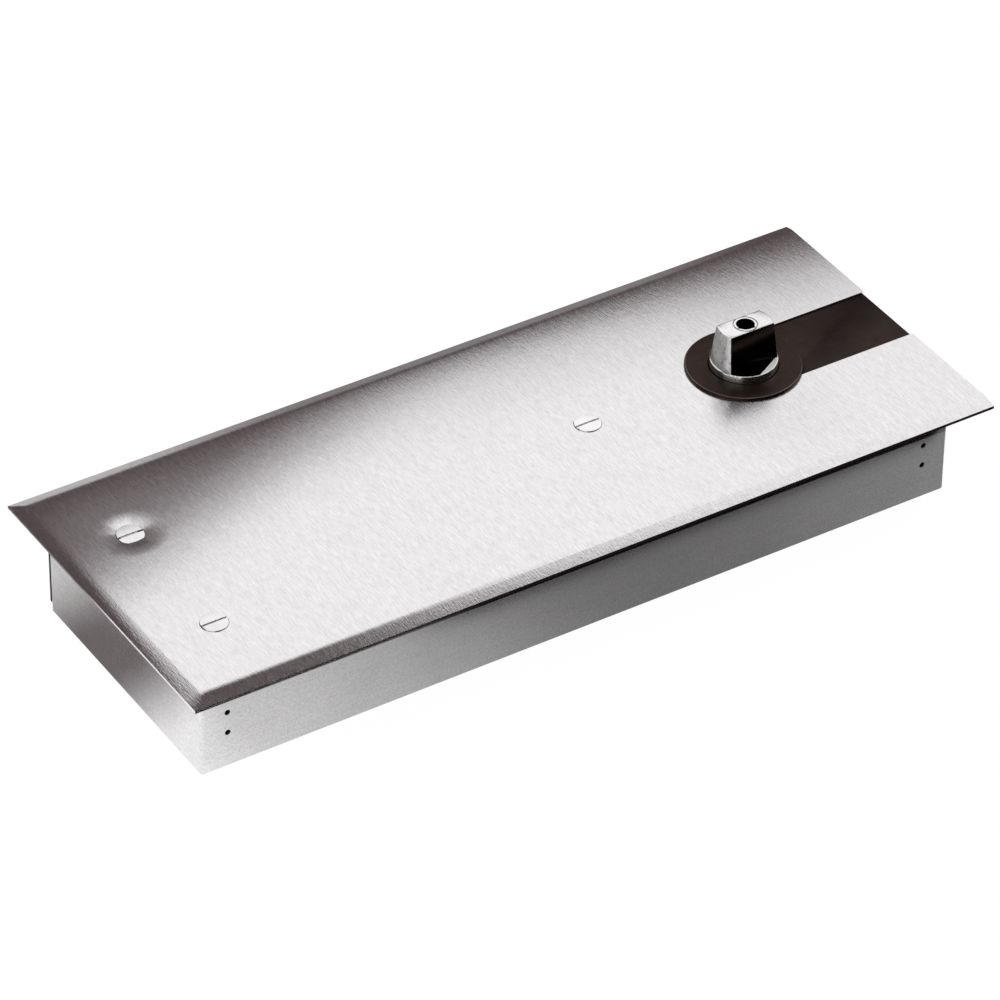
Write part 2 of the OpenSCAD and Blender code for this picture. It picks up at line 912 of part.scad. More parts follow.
ball_r = 2;
ball_up = 8.6;
ball_seat_x = piston_x1 - 6;
ball_hole_r = 1.5;

module piston() {
    color(steel)
    difference() {
        rod_x(piston_r, piston_x0, piston_x1);
        rod_x(rod_end_r, piston_x0 - 1, piston_x1 + 1);
        ring_x(piston_r - 2, piston_r + 1, piston_groove_x, piston_groove_x + piston_groove_w);
        rod_x(ball_hole_r, piston_x0 - 1, piston_x1 + 1, 0, cam_z + ball_up);
        rod_x(ball_r + seat_gap, ball_seat_x, piston_x1 + 1, 0, cam_z + ball_up);
    }
}

module piston_seal() {
    color(rubber)
    ring_x(piston_r - 2, piston_r, piston_groove_x + seat_gap,
        piston_groove_x + piston_groove_w - seat_gap);
}

module check_ball() {
    color(bright)
    translate([ball_seat_x + sqrt(ball_r * ball_r - ball_hole_r * ball_hole_r) + 0.02, 0,
            cam_z + ball_up])
        sphere(r = ball_r, $fn = 24);
}

module spring_seat_moving() {
    color(steel)
    difference() {
        ring_x(rod_end_r, bore_r - 0.5, piston_x1, piston_x1 + seat_t);
        rod_x(ball_hole_r, piston_x1 - 1, piston_x1 + seat_t + 1, 0, cam_z + ball_up);
    }
}

module spring_seat_fixed() {
    color(steel)
    ring_x(rod_r + 0.5, bore_r - 0.5, wall_x0 - seat_t, wall_x0);
}

// centre line of a closed-end compression spring, from its first end to its last
function coil_x(t, turns, wire, span) =
    t < 1 ? wire * t :
    t > turns - 1 ? span - wire * (turns - t) :
    wire + (span - 2 * wire) * (t - 1) / (turns - 2);
function coil_ring(t, r, wire, turns, span, sides) = [for (j = [0 : sides - 1])
    let (w = r + wire / 2 * cos(360 * j / sides))
    [coil_x(t, turns, wire, span) + wire / 2 * sin(360 * j / sides),
     w * cos(360 * t), w * sin(360 * t)]];

// wire spring lying along X between two faces
module coil_spring(x0, x1, r, wire, turns) {
    sides = 6;
    steps = 12;
    rings = turns * steps;
    span = x1 - x0 - wire;
    points = [for (i = [0 : rings]) each coil_ring(i / steps, r, wire, turns, span, sides)];
    walls = [for (i = [0 : rings - 1], j = [0 : sides - 1])
        let (a = i * sides + j, b = i * sides + (j + 1) % sides)
        [a, a + sides, b + sides, b]];
    first = [for (j = [0 : sides - 1]) j];
    last = [for (j = [sides - 1 : -1 : 0]) rings * sides + j];
    translate([x0 + wire / 2, 0, cam_z])
        polyhedron(points = points, faces = concat([first], walls, [last]), convexity = 20);
}

spring_x0 = piston_x1 + seat_t;
spring_x1 = wall_x0 - seat_t;

module closing_spring_outer() {
    color(cast)
    coil_spring(spring_x0, spring_x1, bore_r - 0.6 - wire_outer / 2, wire_outer, turns_outer);
}

module closing_spring_inner() {
    color(cast)
    coil_spring(spring_x0, spring_x1, rod_r + 1.1 + wire_inner / 2, wire_inner, turns_inner);
}

// ---- end plug and valves ----

module end_plug() {
    color(steel)
    difference() {
        rod_x(bore_r, plug_x0, plug_x1);
        ring_x(bore_r - 1.4, bore_r + 1, plug_groove_x, plug_groove_x + plug_groove_w);
        hex_x(plug_hex, plug_x0 - 1, plug_x0 + plug_hex / 2);
    }
}

module plug_o_ring() {
    color(rubber)
    translate([plug_groove_x + plug_groove_w / 2, 0, cam_z])
        rotate([0, 90, 0])
            rotate_extrude()
                translate([bore_r - 0.7, 0])
                    circle(0.7, $fn = 16);
}

module plug_circlip() {
    color(steel)
    difference() {
        ring_x(bore_r - 2, bore_r + 1.1, circlip_x, circlip_x + circlip_t);
        translate([circlip_x - 1, -3, cam_z])
            cube([circlip_t + 2, 6, bore_r + 3]);
    }
}

// regulating screw with a driver slot and a metering cone
module valve(y) {
    translate([valve_x, y, 0])
        difference() {
            union() {
                post(valve_r - run_gap, cam_z + 3, valve_top);
                translate([0, 0, cam_z - 1])
                    cylinder(r1 = 1, r2 = 2.6, h = 4);
            }
            translate([-valve_r - 1, -0.6, valve_top - 1.6])
                cube([2 * valve_r + 2, 1.2, 3]);
            ring(valve_r - 0.9, valve_r + 1, cam_z + 6, cam_z + 7.4);
        }
}

module valve_ring(y) {
    translate([valve_x, y, cam_z + 6.7])
        rotate_extrude()
            translate([valve_r - 0.45 - run_gap, 0])
                circle(0.42, $fn = 12);
}

module closing_valve() {
    color(brass)
    valve(-gallery_y);
}

module latching_valve() {
    color(brass)
    valve(gallery_y);
}

module closing_valve_ring() {
    color(rubber)
    valve_ring(-gallery_y);
}

module latching_valve_ring() {
    color(rubber)
    valve_ring(gallery_y);
}

module oil_filler_plug() {
    color(brass)
    translate([filler_x, 0, 0])
        difference() {
            union() {
                post(3, cover_low, cover_top);
                hex_post(9, cover_top, cover_top + 2.2);
            }
            translate([-6, -0.5, cover_top + 1.2])
                cube([12, 1, 3]);
        }
}

cement_box();
bracket_near_end();
bracket_far_end();
bracket_rivets();
bracket_nuts();
cover_plate();
slot_strip();
spindle_rosette();
cover_screws();
closer_housing();
body_fixing_screws();
body_fixing_washers();
bearing_cover();
bearing_cover_screws();
cover_gasket();
shaft_seal();
upper_bearing_shell();
upper_needle_cage();
lower_bearing_shell();
lower_needle_cage();
thrust_washer();
spindle();
heart_cam();
cam_key();
carriage_plate_upper();
carriage_plate_lower();
carriage_end_block();
carriage_rivets();
roller_near();
roller_far();
roller_pins();
pull_rod();
rod_bush();
rod_nut();
piston();
piston_seal();
check_ball();
spring_seat_moving();
spring_seat_fixed();
closing_spring_outer();
closing_spring_inner();
end_plug();
plug_o_ring();
plug_circlip();
closing_valve();
latching_valve();
closing_valve_ring();
latching_valve_ring();
oil_filler_plug();
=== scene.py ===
"""Floor spring door closer: finished pieces, materials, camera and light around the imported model.

The frame's origin is on the spindle axis at the level of the cover plate's top face. +Z is up, +X runs
along the box toward the spindle end. Sizes are in metres.
"""

import json
import logging
import math
from collections.abc import Callable, Iterable, Sequence
from dataclasses import dataclass, field
from enum import Enum

import bmesh
import bpy
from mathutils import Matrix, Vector


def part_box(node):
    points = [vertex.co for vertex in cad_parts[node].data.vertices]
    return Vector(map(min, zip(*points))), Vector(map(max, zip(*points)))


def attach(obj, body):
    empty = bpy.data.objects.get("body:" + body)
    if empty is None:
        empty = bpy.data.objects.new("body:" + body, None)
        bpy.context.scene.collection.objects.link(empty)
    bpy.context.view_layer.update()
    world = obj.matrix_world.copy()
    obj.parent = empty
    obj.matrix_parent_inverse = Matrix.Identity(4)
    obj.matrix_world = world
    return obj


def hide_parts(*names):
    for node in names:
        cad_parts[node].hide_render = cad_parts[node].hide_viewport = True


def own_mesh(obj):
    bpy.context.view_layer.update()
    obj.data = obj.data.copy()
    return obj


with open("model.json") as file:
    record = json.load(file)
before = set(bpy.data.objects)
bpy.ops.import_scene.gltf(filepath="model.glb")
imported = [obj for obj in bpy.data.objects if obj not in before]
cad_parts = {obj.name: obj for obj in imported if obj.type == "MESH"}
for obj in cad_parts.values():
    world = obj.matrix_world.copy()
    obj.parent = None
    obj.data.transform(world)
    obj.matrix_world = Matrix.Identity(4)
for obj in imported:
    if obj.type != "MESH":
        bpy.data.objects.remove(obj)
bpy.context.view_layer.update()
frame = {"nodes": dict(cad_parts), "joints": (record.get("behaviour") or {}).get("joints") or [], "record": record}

logging.basicConfig(level=logging.INFO, format="%(message)s")
log = logging.getLogger("floor_spring")

MM = 0.001
Colour = tuple[float, float, float]
Point = tuple[float, float, float]
Relief = tuple[float, float]


# ---------------------------------------------------------------- modelling bench


class Pick(Enum):
    """What a selection picks out of a mesh."""

    VERT = "VERT"
    EDGE = "EDGE"
    FACE = "FACE"


class Bench:
    """Short helpers round the modelling operators. Each works on the active object."""

    @staticmethod
    def clear() -> None:
        """Leaves edit mode and deselects everything."""
        if bpy.context.object is not None and bpy.context.object.mode != "OBJECT":
            bpy.ops.object.mode_set(mode="OBJECT")
        bpy.ops.object.select_all(action="DESELECT")

    @staticmethod
    def focus(obj: bpy.types.Object) -> bpy.types.Object:
        """Makes obj the only selected and the active object.

        Args:
            obj: the object.

        Returns:
            The same object.
        """
        Bench.clear()
        obj.select_set(True)
        bpy.context.view_layer.objects.active = obj
        return obj

    @staticmethod
    def named(name: str) -> bpy.types.Object:
        """Names the active object and its mesh, and puts its place in its mesh.

        Args:
            name: name of the object and its mesh.

        Returns:
            The object.
        """
        obj = bpy.context.object
        obj.name = name
        obj.data.name = name
        bpy.ops.object.transform_apply(location=True, rotation=True, scale=True)
        return obj

    @staticmethod
    def block(name: str, low: Point, high: Point) -> bpy.types.Object:
        """A rectangular block between two corners.

        Args:
            name: name of the object.
            low: lowest corner.
            high: highest corner.

        Returns:
            The new object.
        """
        Bench.clear()
        centre = [(a + b) / 2 for a, b in zip(low, high)]
        bpy.ops.mesh.primitive_cube_add(size=1, location=centre)
        bpy.context.object.scale = [b - a for a, b in zip(low, high)]
        return Bench.named(name)

    @staticmethod
    def post(name: str, r: float, low: float, high: float, at: tuple[float, float] = (0, 0),
             sides: int = 64, top_r: float | None = None) -> bpy.types.Object:
        """An upright cylinder or cone.

        Args:
            name: name of the object.
            r: radius at its foot.
            low: height of its foot.
            high: height of its top.
            at: its axis in plan.
            sides: sides round it.
            top_r: radius at its top, the same as r if left out.

        Returns:
            The new object.
        """
        Bench.clear()
        bpy.ops.mesh.primitive_cone_add(
            vertices=sides, radius1=r, radius2=r if top_r is None else top_r,
            depth=high - low, location=(at[0], at[1], (low + high) / 2))
        return Bench.named(name)

    @staticmethod
    def arc(round_r: float, r: float, z: float, turns: Iterable[float]) -> list[tuple[float, float]]:
        """Corners of a rounding in a turned profile.

        Args:
            round_r: radius of the rounding.
            r: distance of its centre from the axis.
            z: height of its centre.
            turns: direction of each corner in degrees, from straight up toward the outside.

        Returns:
            The (radius, height) of each corner.
        """
        return [(r + round_r * math.sin(math.radians(turn)), z + round_r * math.cos(math.radians(turn)))
                for turn in turns]

    @staticmethod
    def turned(name: str, profile: Sequence[tuple[float, float]], sides: int = 96,
               ring: bool = False) -> bpy.types.Object:
        """A solid or ring turned about the Z axis, extruded circle by circle along its profile.

        Args:
            name: name of the object.
            profile: (radius, height) of each corner, from the foot out and up, never on the axis.
            sides: sides round it.
            ring: whether the profile closes on itself; otherwise its first and last circles are capped.

        Returns:
            The new object.
        """
        Bench.clear()
        r, z = profile[0]
        fill = "NOTHING" if ring else "NGON"
        bpy.ops.mesh.primitive_circle_add(vertices=sides, radius=r, location=(0, 0, z), fill_type=fill)
        obj = Bench.named(name)
        bpy.ops.object.mode_set(mode="EDIT")
        bpy.ops.mesh.select_mode(type="EDGE")
        bpy.ops.mesh.select_all(action="SELECT")
        for next_r, next_z in list(profile[1:]) + ([profile[0]] if ring else []):
            bpy.ops.mesh.extrude_edges_move()
            bpy.ops.transform.resize(value=(next_r / r, next_r / r, 1), center_override=(0, 0, z))
            bpy.ops.transform.translate(value=(0, 0, next_z - z))
            r, z = next_r, next_z
        if not ring:
            bpy.ops.mesh.edge_face_add()
        bpy.ops.mesh.select_all(action="SELECT")
        bpy.ops.mesh.remove_doubles(threshold=1e-6)
        bpy.ops.mesh.normals_make_consistent(inside=False)
        bpy.ops.object.mode_set(mode="OBJECT")
        return obj

    @staticmethod
    def pick(obj: bpy.types.Object, kind: Pick, test: Callable[[Vector, Vector], bool]) -> int:
        """Enters edit mode and selects elements by their place.

        Args:
            obj: the object to select on.
            kind: what to select.
            test: takes an element's middle and its normal, or an edge's direction.

        Returns:
            How many elements were selected.
        """
        Bench.focus(obj)
        bpy.ops.object.mode_set(mode="EDIT")
        bpy.ops.mesh.select_mode(type=kind.value)
        bpy.ops.mesh.select_all(action="DESELECT")
        mesh = bmesh.from_edit_mesh(obj.data)
        mesh.normal_update()
        found = 0
        if kind is Pick.VERT:
            for v in mesh.verts:
                v.select = test(v.co, v.normal)
                found += v.select
        elif kind is Pick.EDGE:
            for e in mesh.edges:
                a, b = (v.co for v in e.verts)
                e.select = test((a + b) / 2, (b - a).normalized())
                found += e.select
        else:
            for f in mesh.faces:
                f.select = test(f.calc_center_median(), f.normal)
                found += f.select
        mesh.select_flush_mode()
        bmesh.update_edit_mesh(obj.data)
        return found

    @staticmethod
    def cut(obj: bpy.types.Object, cutter: bpy.types.Object, join: bool = False) -> None:
        """Takes cutter away from obj, or joins it on, and deletes the cutter.

        Args:
            obj: the piece that stays.
            cutter: the solid that is used up.
            join: whether the cutter is joined on instead.
        """
        Bench.focus(obj)
        mod = obj.modifiers.new("cut", "BOOLEAN")
        mod.operation = "UNION" if join else "DIFFERENCE"
        mod.solver = "MANIFOLD"
        mod.object = cutter
        bpy.ops.object.modifier_apply(modifier=mod.name)
        bpy.data.objects.remove(cutter)

    @staticmethod
    def round_edges(obj: bpy.types.Object, width: float, segments: int = 2, angle: float = 40) -> None:
        """Rounds the sharp edges of obj.

        Args:
            obj: the object.
            width: width of the rounding.
            segments: rows of faces across it.
            angle: the least angle between faces that is rounded, in degrees.
        """
        Bench.focus(obj)
        mod = obj.modifiers.new("round", "BEVEL")
        mod.width = width
        mod.segments = segments
        mod.limit_method = "ANGLE"
        mod.angle_limit = math.radians(angle)
        mod.use_clamp_overlap = True
        bpy.ops.object.modifier_apply(modifier=mod.name)

    @staticmethod
    def smooth(obj: bpy.types.Object, angle: float = 32) -> None:
        """Shades obj smooth up to an angle in degrees."""
        Bench.focus(obj)
        bpy.ops.object.shade_smooth_by_angle(angle=math.radians(angle))

    @staticmethod
    def flatten(obj: bpy.types.Object, axis: int, place: float,
                test: Callable[[Vector, Vector], bool]) -> None:
        """Brings the vertices that a test picks to one place along an axis.

        Args:
            obj: the object.
            axis: 0, 1 or 2 for X, Y or Z.
            place: where they end up on it.
            test: takes a vertex's place and its normal.
        """
        Bench.pick(obj, Pick.VERT, test)
        spot = [0.0, 0.0, 0.0]
        size = [1.0, 1.0, 1.0]
        spot[axis], size[axis] = place, 0.0
        bpy.ops.transform.resize(value=size, center_override=spot)
        bpy.ops.object.mode_set(mode="OBJECT")

    @staticmethod
    def slice_grid(obj: bpy.types.Object, axis: int, places: Iterable[float]) -> None:
        """Cuts a line across obj at each place along an axis, keeping both sides.

        Args:
            obj: the object.
            axis: 0, 1 or 2 for X, Y or Z.
            places: the places on it.
        """
        Bench.pick(obj, Pick.FACE, lambda c, n: True)
        for place in places:
            bpy.ops.mesh.select_all(action="SELECT")
            spot = [0.0, 0.0, 0.0]
            way = [0.0, 0.0, 0.0]
            spot[axis], way[axis] = place, 1.0
            bpy.ops.mesh.bisect(plane_co=spot, plane_no=way)
        bpy.ops.object.mode_set(mode="OBJECT")


# ---------------------------------------------------------------- shader graph


class Wire:
    """One output socket of a shader graph, on which sums are written as plain expressions."""

    def __init__(self, graph: "Graph", socket: bpy.types.NodeSocket) -> None:
        """Holds the graph and the socket."""
        self.graph = graph
        self.socket = socket

    def _sum(self, kind: str, a: "Wire | float", b: "Wire | float") -> "Wire":
        """Adds one Math node of that kind."""
        return self.graph.add("ShaderNodeMath", {"operation": kind}, {0: a, 1: b})

    def __add__(self, other: "Wire | float") -> "Wire":
        """self + other."""
        return self._sum("ADD", self, other)

    def __sub__(self, other: "Wire | float") -> "Wire":
        """self - other."""
        return self._sum("SUBTRACT", self, other)

    def __rsub__(self, other: float) -> "Wire":
        """other - self."""
        return self._sum("SUBTRACT", other, self)

    def __mul__(self, other: "Wire | float") -> "Wire":
        """self * other."""
        return self._sum("MULTIPLY", self, other)

    def __abs__(self) -> "Wire":
        """The size of self, without its sign."""
        return self._sum("ABSOLUTE", self, 0.0)

    def __gt__(self, other: "Wire | float") -> "Wire":
        """1 where self is above other."""
        return self._sum("GREATER_THAN", self, other)

    __radd__ = __add__
    __rmul__ = __mul__


Skin = tuple[Wire, Wire, Wire]


class Graph:
    """The node graph of one material or of the world."""

    def __init__(self, owner: bpy.types.Material | bpy.types.World) -> None:
        """Clears the owner's nodes and keeps its tree.

        Args:
            owner: the material or world.
        """
        owner.use_nodes = True
        self.tree = owner.node_tree
        self.tree.nodes.clear()

    def add(self, kind: str, settings: dict | None = None, inputs: dict | None = None,
            out: int | str = 0) -> Wire:
        """Adds a node.

        Args:
            kind: the node's type.
            settings: its properties, or "stops" for the stops of a ramp.
            inputs: value or Wire of each socket, by number, name or identifier.
            out: the output socket to return.

        Returns:
            The chosen output.
        """
        node = self.tree.nodes.new(kind)
        for key, value in (settings or {}).items():
            if key == "stops":
                ramp = node.color_ramp
                while len(ramp.elements) > 1:
                    ramp.elements.remove(ramp.elements[-1])
                for i, (place, grey) in enumerate(value):
                    stop = ramp.elements[0] if i == 0 else ramp.elements.new(place)
                    stop.position = place
                    stop.color = (grey, grey, grey, 1)
            else:
                setattr(node, key, value)
        for key, value in (inputs or {}).items():
            socket = self._socket(node.inputs, key)
            if isinstance(value, Wire):
                self.tree.links.new(value.socket, socket)
            elif isinstance(value, tuple) and len(value) == 3 and socket.type == "RGBA":
                socket.default_value = (*value, 1)
            else:
                socket.default_value = value
        return Wire(self, self._socket(node.outputs, out)) if len(node.outputs) else Wire(self, None)

    @staticmethod
    def _socket(sockets: Sequence, key: int | str) -> bpy.types.NodeSocket:
        """Finds a socket.

        Args:
            sockets: a node's inputs or outputs.
            key: the number, identifier or name.

        Returns:
            The socket.
        """
        if isinstance(key, int):
            return sockets[key]
        for s in sockets:
            if s.identifier == key:
                return s
        return next(s for s in sockets if s.name == key and s.enabled)

    def place(self, scale: Point = (1, 1, 1)) -> Wire:
        """Object coordinates, scaled."""
        spot = self.add("ShaderNodeTexCoord", out="Object")
        return self.add("ShaderNodeMapping", {}, {"Vector": spot, "Scale": scale})

    def axes(self) -> tuple[Wire, Wire, Wire]:
        """The object coordinates as three numbers."""
        node = self.add("ShaderNodeSeparateXYZ", {}, {"Vector": self.place()}).socket.node
        return tuple(Wire(self, node.outputs[i]) for i in range(3))

    def noise(self, where: Wire, detail: float, rough: float) -> Wire:
        """A noise from 0 to 1.

        Args:
            where: the place, scaled.
            detail: layers of finer noise.
            rough: strength of each finer layer against the one before.

        Returns:
            The noise.
        """
        return self.add("ShaderNodeTexNoise", {}, {"Vector": where, "Scale": 1.0, "Detail": detail,
                                                   "Roughness": rough})

    def ramp(self, value: Wire, stops: Sequence[tuple[float, float]]) -> Wire:
        """A ramp over value, through (value, result) stops."""
        return self.add("ShaderNodeValToRGB", {"stops": stops}, {"Fac": value})

    def step(self, value: Wire, start: float, end: float, low: float, high: float) -> Wire:
        """A soft step.

        Args:
            value: the number that the step runs over.
            start: where the step starts.
            end: where it ends.
            low: the result before it.
            high: the result after it.

        Returns:
            The result.
        """
        return self.add("ShaderNodeMapRange", {"interpolation_type": "SMOOTHSTEP"},
                        {"Value": value, "From Min": start, "From Max": end, "To Min": low, "To Max": high})

    def blend(self, share: Wire | float, a: Wire | Colour, b: Wire | Colour) -> Wire:
        """Blends two colours.

        Args:
            share: from 0 to 1.
            a: the colour at 0.
            b: the colour at 1.

        Returns:
            The colour.
        """
        return self.add("ShaderNodeMix", {"data_type": "RGBA"},
                        {"Factor_Float": share, "A_Color": a, "B_Color": b}, out="Result_Color")

    def bump(self, height: Wire, relief: Relief, under: Wire | None = None) -> Wire:
        """A bump on top of another normal.

        Args:
            height: the height that it shows.
            relief: its strength and its depth in metres.
            under: the normal that it lies on.

        Returns:
            The normal.
        """
        inputs = {"Height": height, "Strength": relief[0], "Distance": relief[1]}
        if under is not None:
            inputs["Normal"] = under
        return self.add("ShaderNodeBump", {}, inputs)

    def surface(self, **inputs: "Wire | float | Colour") -> None:
        """Ends the graph in a Principled shader.

        Args:
            inputs: value or Wire of each socket, with _ in its name standing for a space.
        """
        shader = self.add("ShaderNodeBsdfPrincipled", {},
                          {k.replace("_", " "): v for k, v in inputs.items()})
        self.add("ShaderNodeOutputMaterial", {}, {"Surface": shader})


# ---------------------------------------------------------------- finishes


class Grain(Enum):
    """Which way marks run: 1 for each axis across them, 0 for each axis along them."""

    NONE = (1, 1, 1)
    ALONG_X = (0, 1, 1)
    ALONG_Y = (1, 0, 1)
    ALONG_Z = (1, 1, 0)
    LEVEL = (0, 0, 1)


@dataclass(frozen=True)
class Marks:
    """Small marks on a surface, as a noise from 0 to 1.

    Args:
        across: marks per metre across the grain.
        along: marks per metre along the grain.
        grain: which way they run.
        detail: layers of finer marks.
        rough: strength of each finer layer against the one before.
    """

    across: float
    along: float = 0.0
    grain: Grain = Grain.NONE
    detail: float = 2
    rough: float = 0.5

    def wire(self, g: Graph) -> Wire:
        """The marks in a graph."""
        scale = tuple(self.across if axis else self.along for axis in self.grain.value)
        return g.noise(g.place(scale), self.detail, self.rough)


_made: dict[str, bpy.types.Material] = {}


@dataclass(frozen=True)
class Finish:
    """A named finish. A kind of finish overrides skin().

    Args:
        name: name of its material.
        tone: its mean colour.
        tints: factors of that colour where it is darkest and lightest.
        band: share of its pattern below which it is darkest, and above which it is lightest.
        rough: its mean roughness.
        metal: how metallic it is.
    """

    name: str
    tone: Colour = (0.5, 0.5, 0.5)
    tints: tuple[float, float] = (0.9, 1.1)
    band: tuple[float, float] = (0.0, 1.0)
    rough: float = 0.3
    metal: float = 1.0

    def skin(self, g: Graph) -> Skin:
        """The look of its surface.

        Args:
            g: the material's graph.

        Returns:
            Its colour, roughness and normal.
        """
        raise NotImplementedError

    def coloured(self, g: Graph, share: Wire) -> Wire:
        """The tone, from its darkest to its lightest tint as share crosses the band.

        Args:
            g: the material's graph.
            share: a pattern from 0 to 1.

        Returns:
            The colour.
        """
        dark, light = (tuple(min(1.0, c * k) for c in self.tone) for k in self.tints)
        return g.blend(g.ramp(share, [(self.band[0], 0.0), (self.band[1], 1.0)]), dark, light)

    def roughened(self, *parts: tuple[Wire, float]) -> Wire:
        """The mean roughness, with the swing that each pattern gives it.

        Args:
            parts: each pattern from 0 to 1, and its swing.

        Returns:
            The roughness.
        """
        return sum(((pattern - 0.5) * swing for pattern, swing in parts), self.rough)

    def paint(self, g: Graph) -> None:
        """Fills the material's graph."""
        colour, rough, normal = self.skin(g)
        g.surface(Base_Color=colour, Metallic=self.metal, Roughness=rough, Normal=normal)

    def material(self) -> bpy.types.Material:
        """The finish's material, made once.

        Returns:
            The material.
        """
        if self.name not in _made:
            mat = bpy.data.materials.new(self.name)
            self.paint(Graph(mat))
            _made[self.name] = mat
        return _made[self.name]

    def dress(self, obj: bpy.types.Object) -> None:
        """Gives obj this finish all over.

        Args:
            obj: the piece.
        """
        mat = self.material()
        if not obj.material_slots:
            obj.data.materials.append(mat)
        for s in obj.material_slots:
            s.material = mat


@dataclass(frozen=True)
class BrushedSheet(Finish):
    """Sheet steel with short fine brush lines and a dusty tooth, and one dulled spot.

    Args:
        fine: the finest brush lines.
        medium: the brush lines that show most.
        broad: the broadest brush lines.
        cloud: soft clouds in the gloss.
        dust: the dusty tooth.
        brush_relief: relief of the brush lines.
        dust_relief: relief of the tooth.
        dull_at: middle (x, y) of the dulled spot.
        dull_r: radii between which the spot fades out.
        dull_by: how much rougher its middle is.
    """

    tone: Colour = (0.83, 0.82, 0.825)
    tints: tuple[float, float] = (0.87, 1.09)
    band: tuple[float, float] = (0.40, 0.60)
    rough: float = 0.13
    fine: Marks = Marks(3400, 420, Grain.ALONG_Y, rough=0.6)
    medium: Marks = Marks(1500, 210, Grain.ALONG_Y, rough=0.6)
    broad: Marks = Marks(420, 50, Grain.ALONG_Y, rough=0.6)
    cloud: Marks = Marks(16, detail=3)
    dust: Marks = Marks(2800, rough=0.7)
    brush_relief: Relief = (0.55, 0.10 * MM)
    dust_relief: Relief = (0.15, 0.05 * MM)
    dull_at: tuple[float, float] = (-6 * MM, -31 * MM)
    dull_r: tuple[float, float] = (2 * MM, 34 * MM)
    dull_by: float = 0.13

    def skin(self, g: Graph) -> Skin:
        """Lines in height, with a little colour and roughness.

        Args:
            g: the material's graph.

        Returns:
            Its colour, roughness and normal.
        """
        fine, medium, broad, cloud, dust = (
            marks.wire(g) for marks in (self.fine, self.medium, self.broad, self.cloud, self.dust))
        brush = fine * 0.3 + medium * 0.5 + broad * 0.2
        x, y, _ = g.axes()
        off_x, off_y = x - self.dull_at[0], y - self.dull_at[1]
        near, far = (r ** 2 for r in self.dull_r)
        dull = g.step(off_x * off_x + off_y * off_y, near, far, self.dull_by, 0.0)
        rough = self.roughened((cloud, 0.05), (medium, 0.10), (dust, 0.05)) + dull
        lines = g.bump(fine * 0.5 + medium * 0.5, self.brush_relief)
        return self.coloured(g, brush * 0.8 + dust * 0.2), rough, g.bump(dust, self.dust_relief, lines)


@dataclass(frozen=True)
class ZincSheet(Finish):
    """Zinc-coated sheet: sandy grain, faint rolling lines and soft blotches.

    Args:
        sand: the sandy grain.
        roll: the rolling lines.
        blotch: the blotches.
        sand_relief: relief of the grain.
        blotch_relief: relief of the blotches.
    """

    tone: Colour = (0.76, 0.755, 0.755)
    tints: tuple[float, float] = (0.84, 1.13)
    band: tuple[float, float] = (0.36, 0.62)
    rough: float = 0.21
    sand: Marks = Marks(1150, detail=3, rough=0.7)
    roll: Marks = Marks(700, 22, Grain.LEVEL, detail=3)
    blotch: Marks = Marks(26, detail=4, rough=0.6)
    sand_relief: Relief = (0.14, 0.08 * MM)
    blotch_relief: Relief = (0.2, 0.4 * MM)

    def skin(self, g: Graph) -> Skin:
        """Sand, rolling lines and blotches.

        Args:
            g: the material's graph.

        Returns:
            Its colour, roughness and normal.
        """
        sand, roll, blotch = (marks.wire(g) for marks in (self.sand, self.roll, self.blotch))
        colour = self.coloured(g, sand * 0.6 + roll * 0.1 + blotch * 0.3)
        rough = self.roughened((blotch, 0.16), (sand, 0.12))
        return colour, rough, g.bump(sand, self.sand_relief, g.bump(blotch, self.blotch_relief))


@dataclass(frozen=True)
class BoxZinc(ZincSheet):
    """Zinc sheet of the box, with a painted shadow along its rim under the plate, where it is also smoother, and
    painted shade in the seam along one cut lip.

    Args:
        painted_shadow_low: height above which the rim is smooth and takes the painted shadow, at the middle of the
            closer.
        tilt: how much that height falls per length along the box.
        smooth: roughness of the smooth rim.
        painted_shadow_tone: colour of the painted shadow under the plate.
        painted_shadow_share: how much of that painted shadow the rim takes.
        lip: the corner (x, y) beyond which the lip lies, toward -X and +Y.
        seam_shade_tone: colour of the painted shade in the seam at the lip.
    """

    painted_shadow_low: float = -14.75 * MM
    tilt: float = 0.0053
    smooth: float = 0.05
    painted_shadow_tone: Colour = (0.20, 0.19, 0.19)
    painted_shadow_share: float = 0.8
    lip: tuple[float, float] = (-252.6 * MM, 51.25 * MM)
    seam_shade_tone: Colour = (0.03, 0.027, 0.026)

    def skin(self, g: Graph) -> Skin:
        """Zinc with the painted shadow along its smooth rim and the painted shade in the seam at its lip.

        Args:
            g: the material's graph.

        Returns:
            Its colour, roughness and normal.
        """
        colour, rough, normal = super().skin(g)
        x, y, z = g.axes()
        # Painted shadow: the band under the plate's overhang is darkened and made smoother.
        rim = z + x * self.tilt > self.painted_shadow_low
        # Painted shade in the open seam at the far corner.
        lip = (y > self.lip[1]) * (1 - (x > self.lip[0]))
        colour = g.blend(lip, g.blend(rim * self.painted_shadow_share, colour, self.painted_shadow_tone), self.seam_shade_tone)
        return colour, rough * (1 - rim) + rim * self.smooth, normal


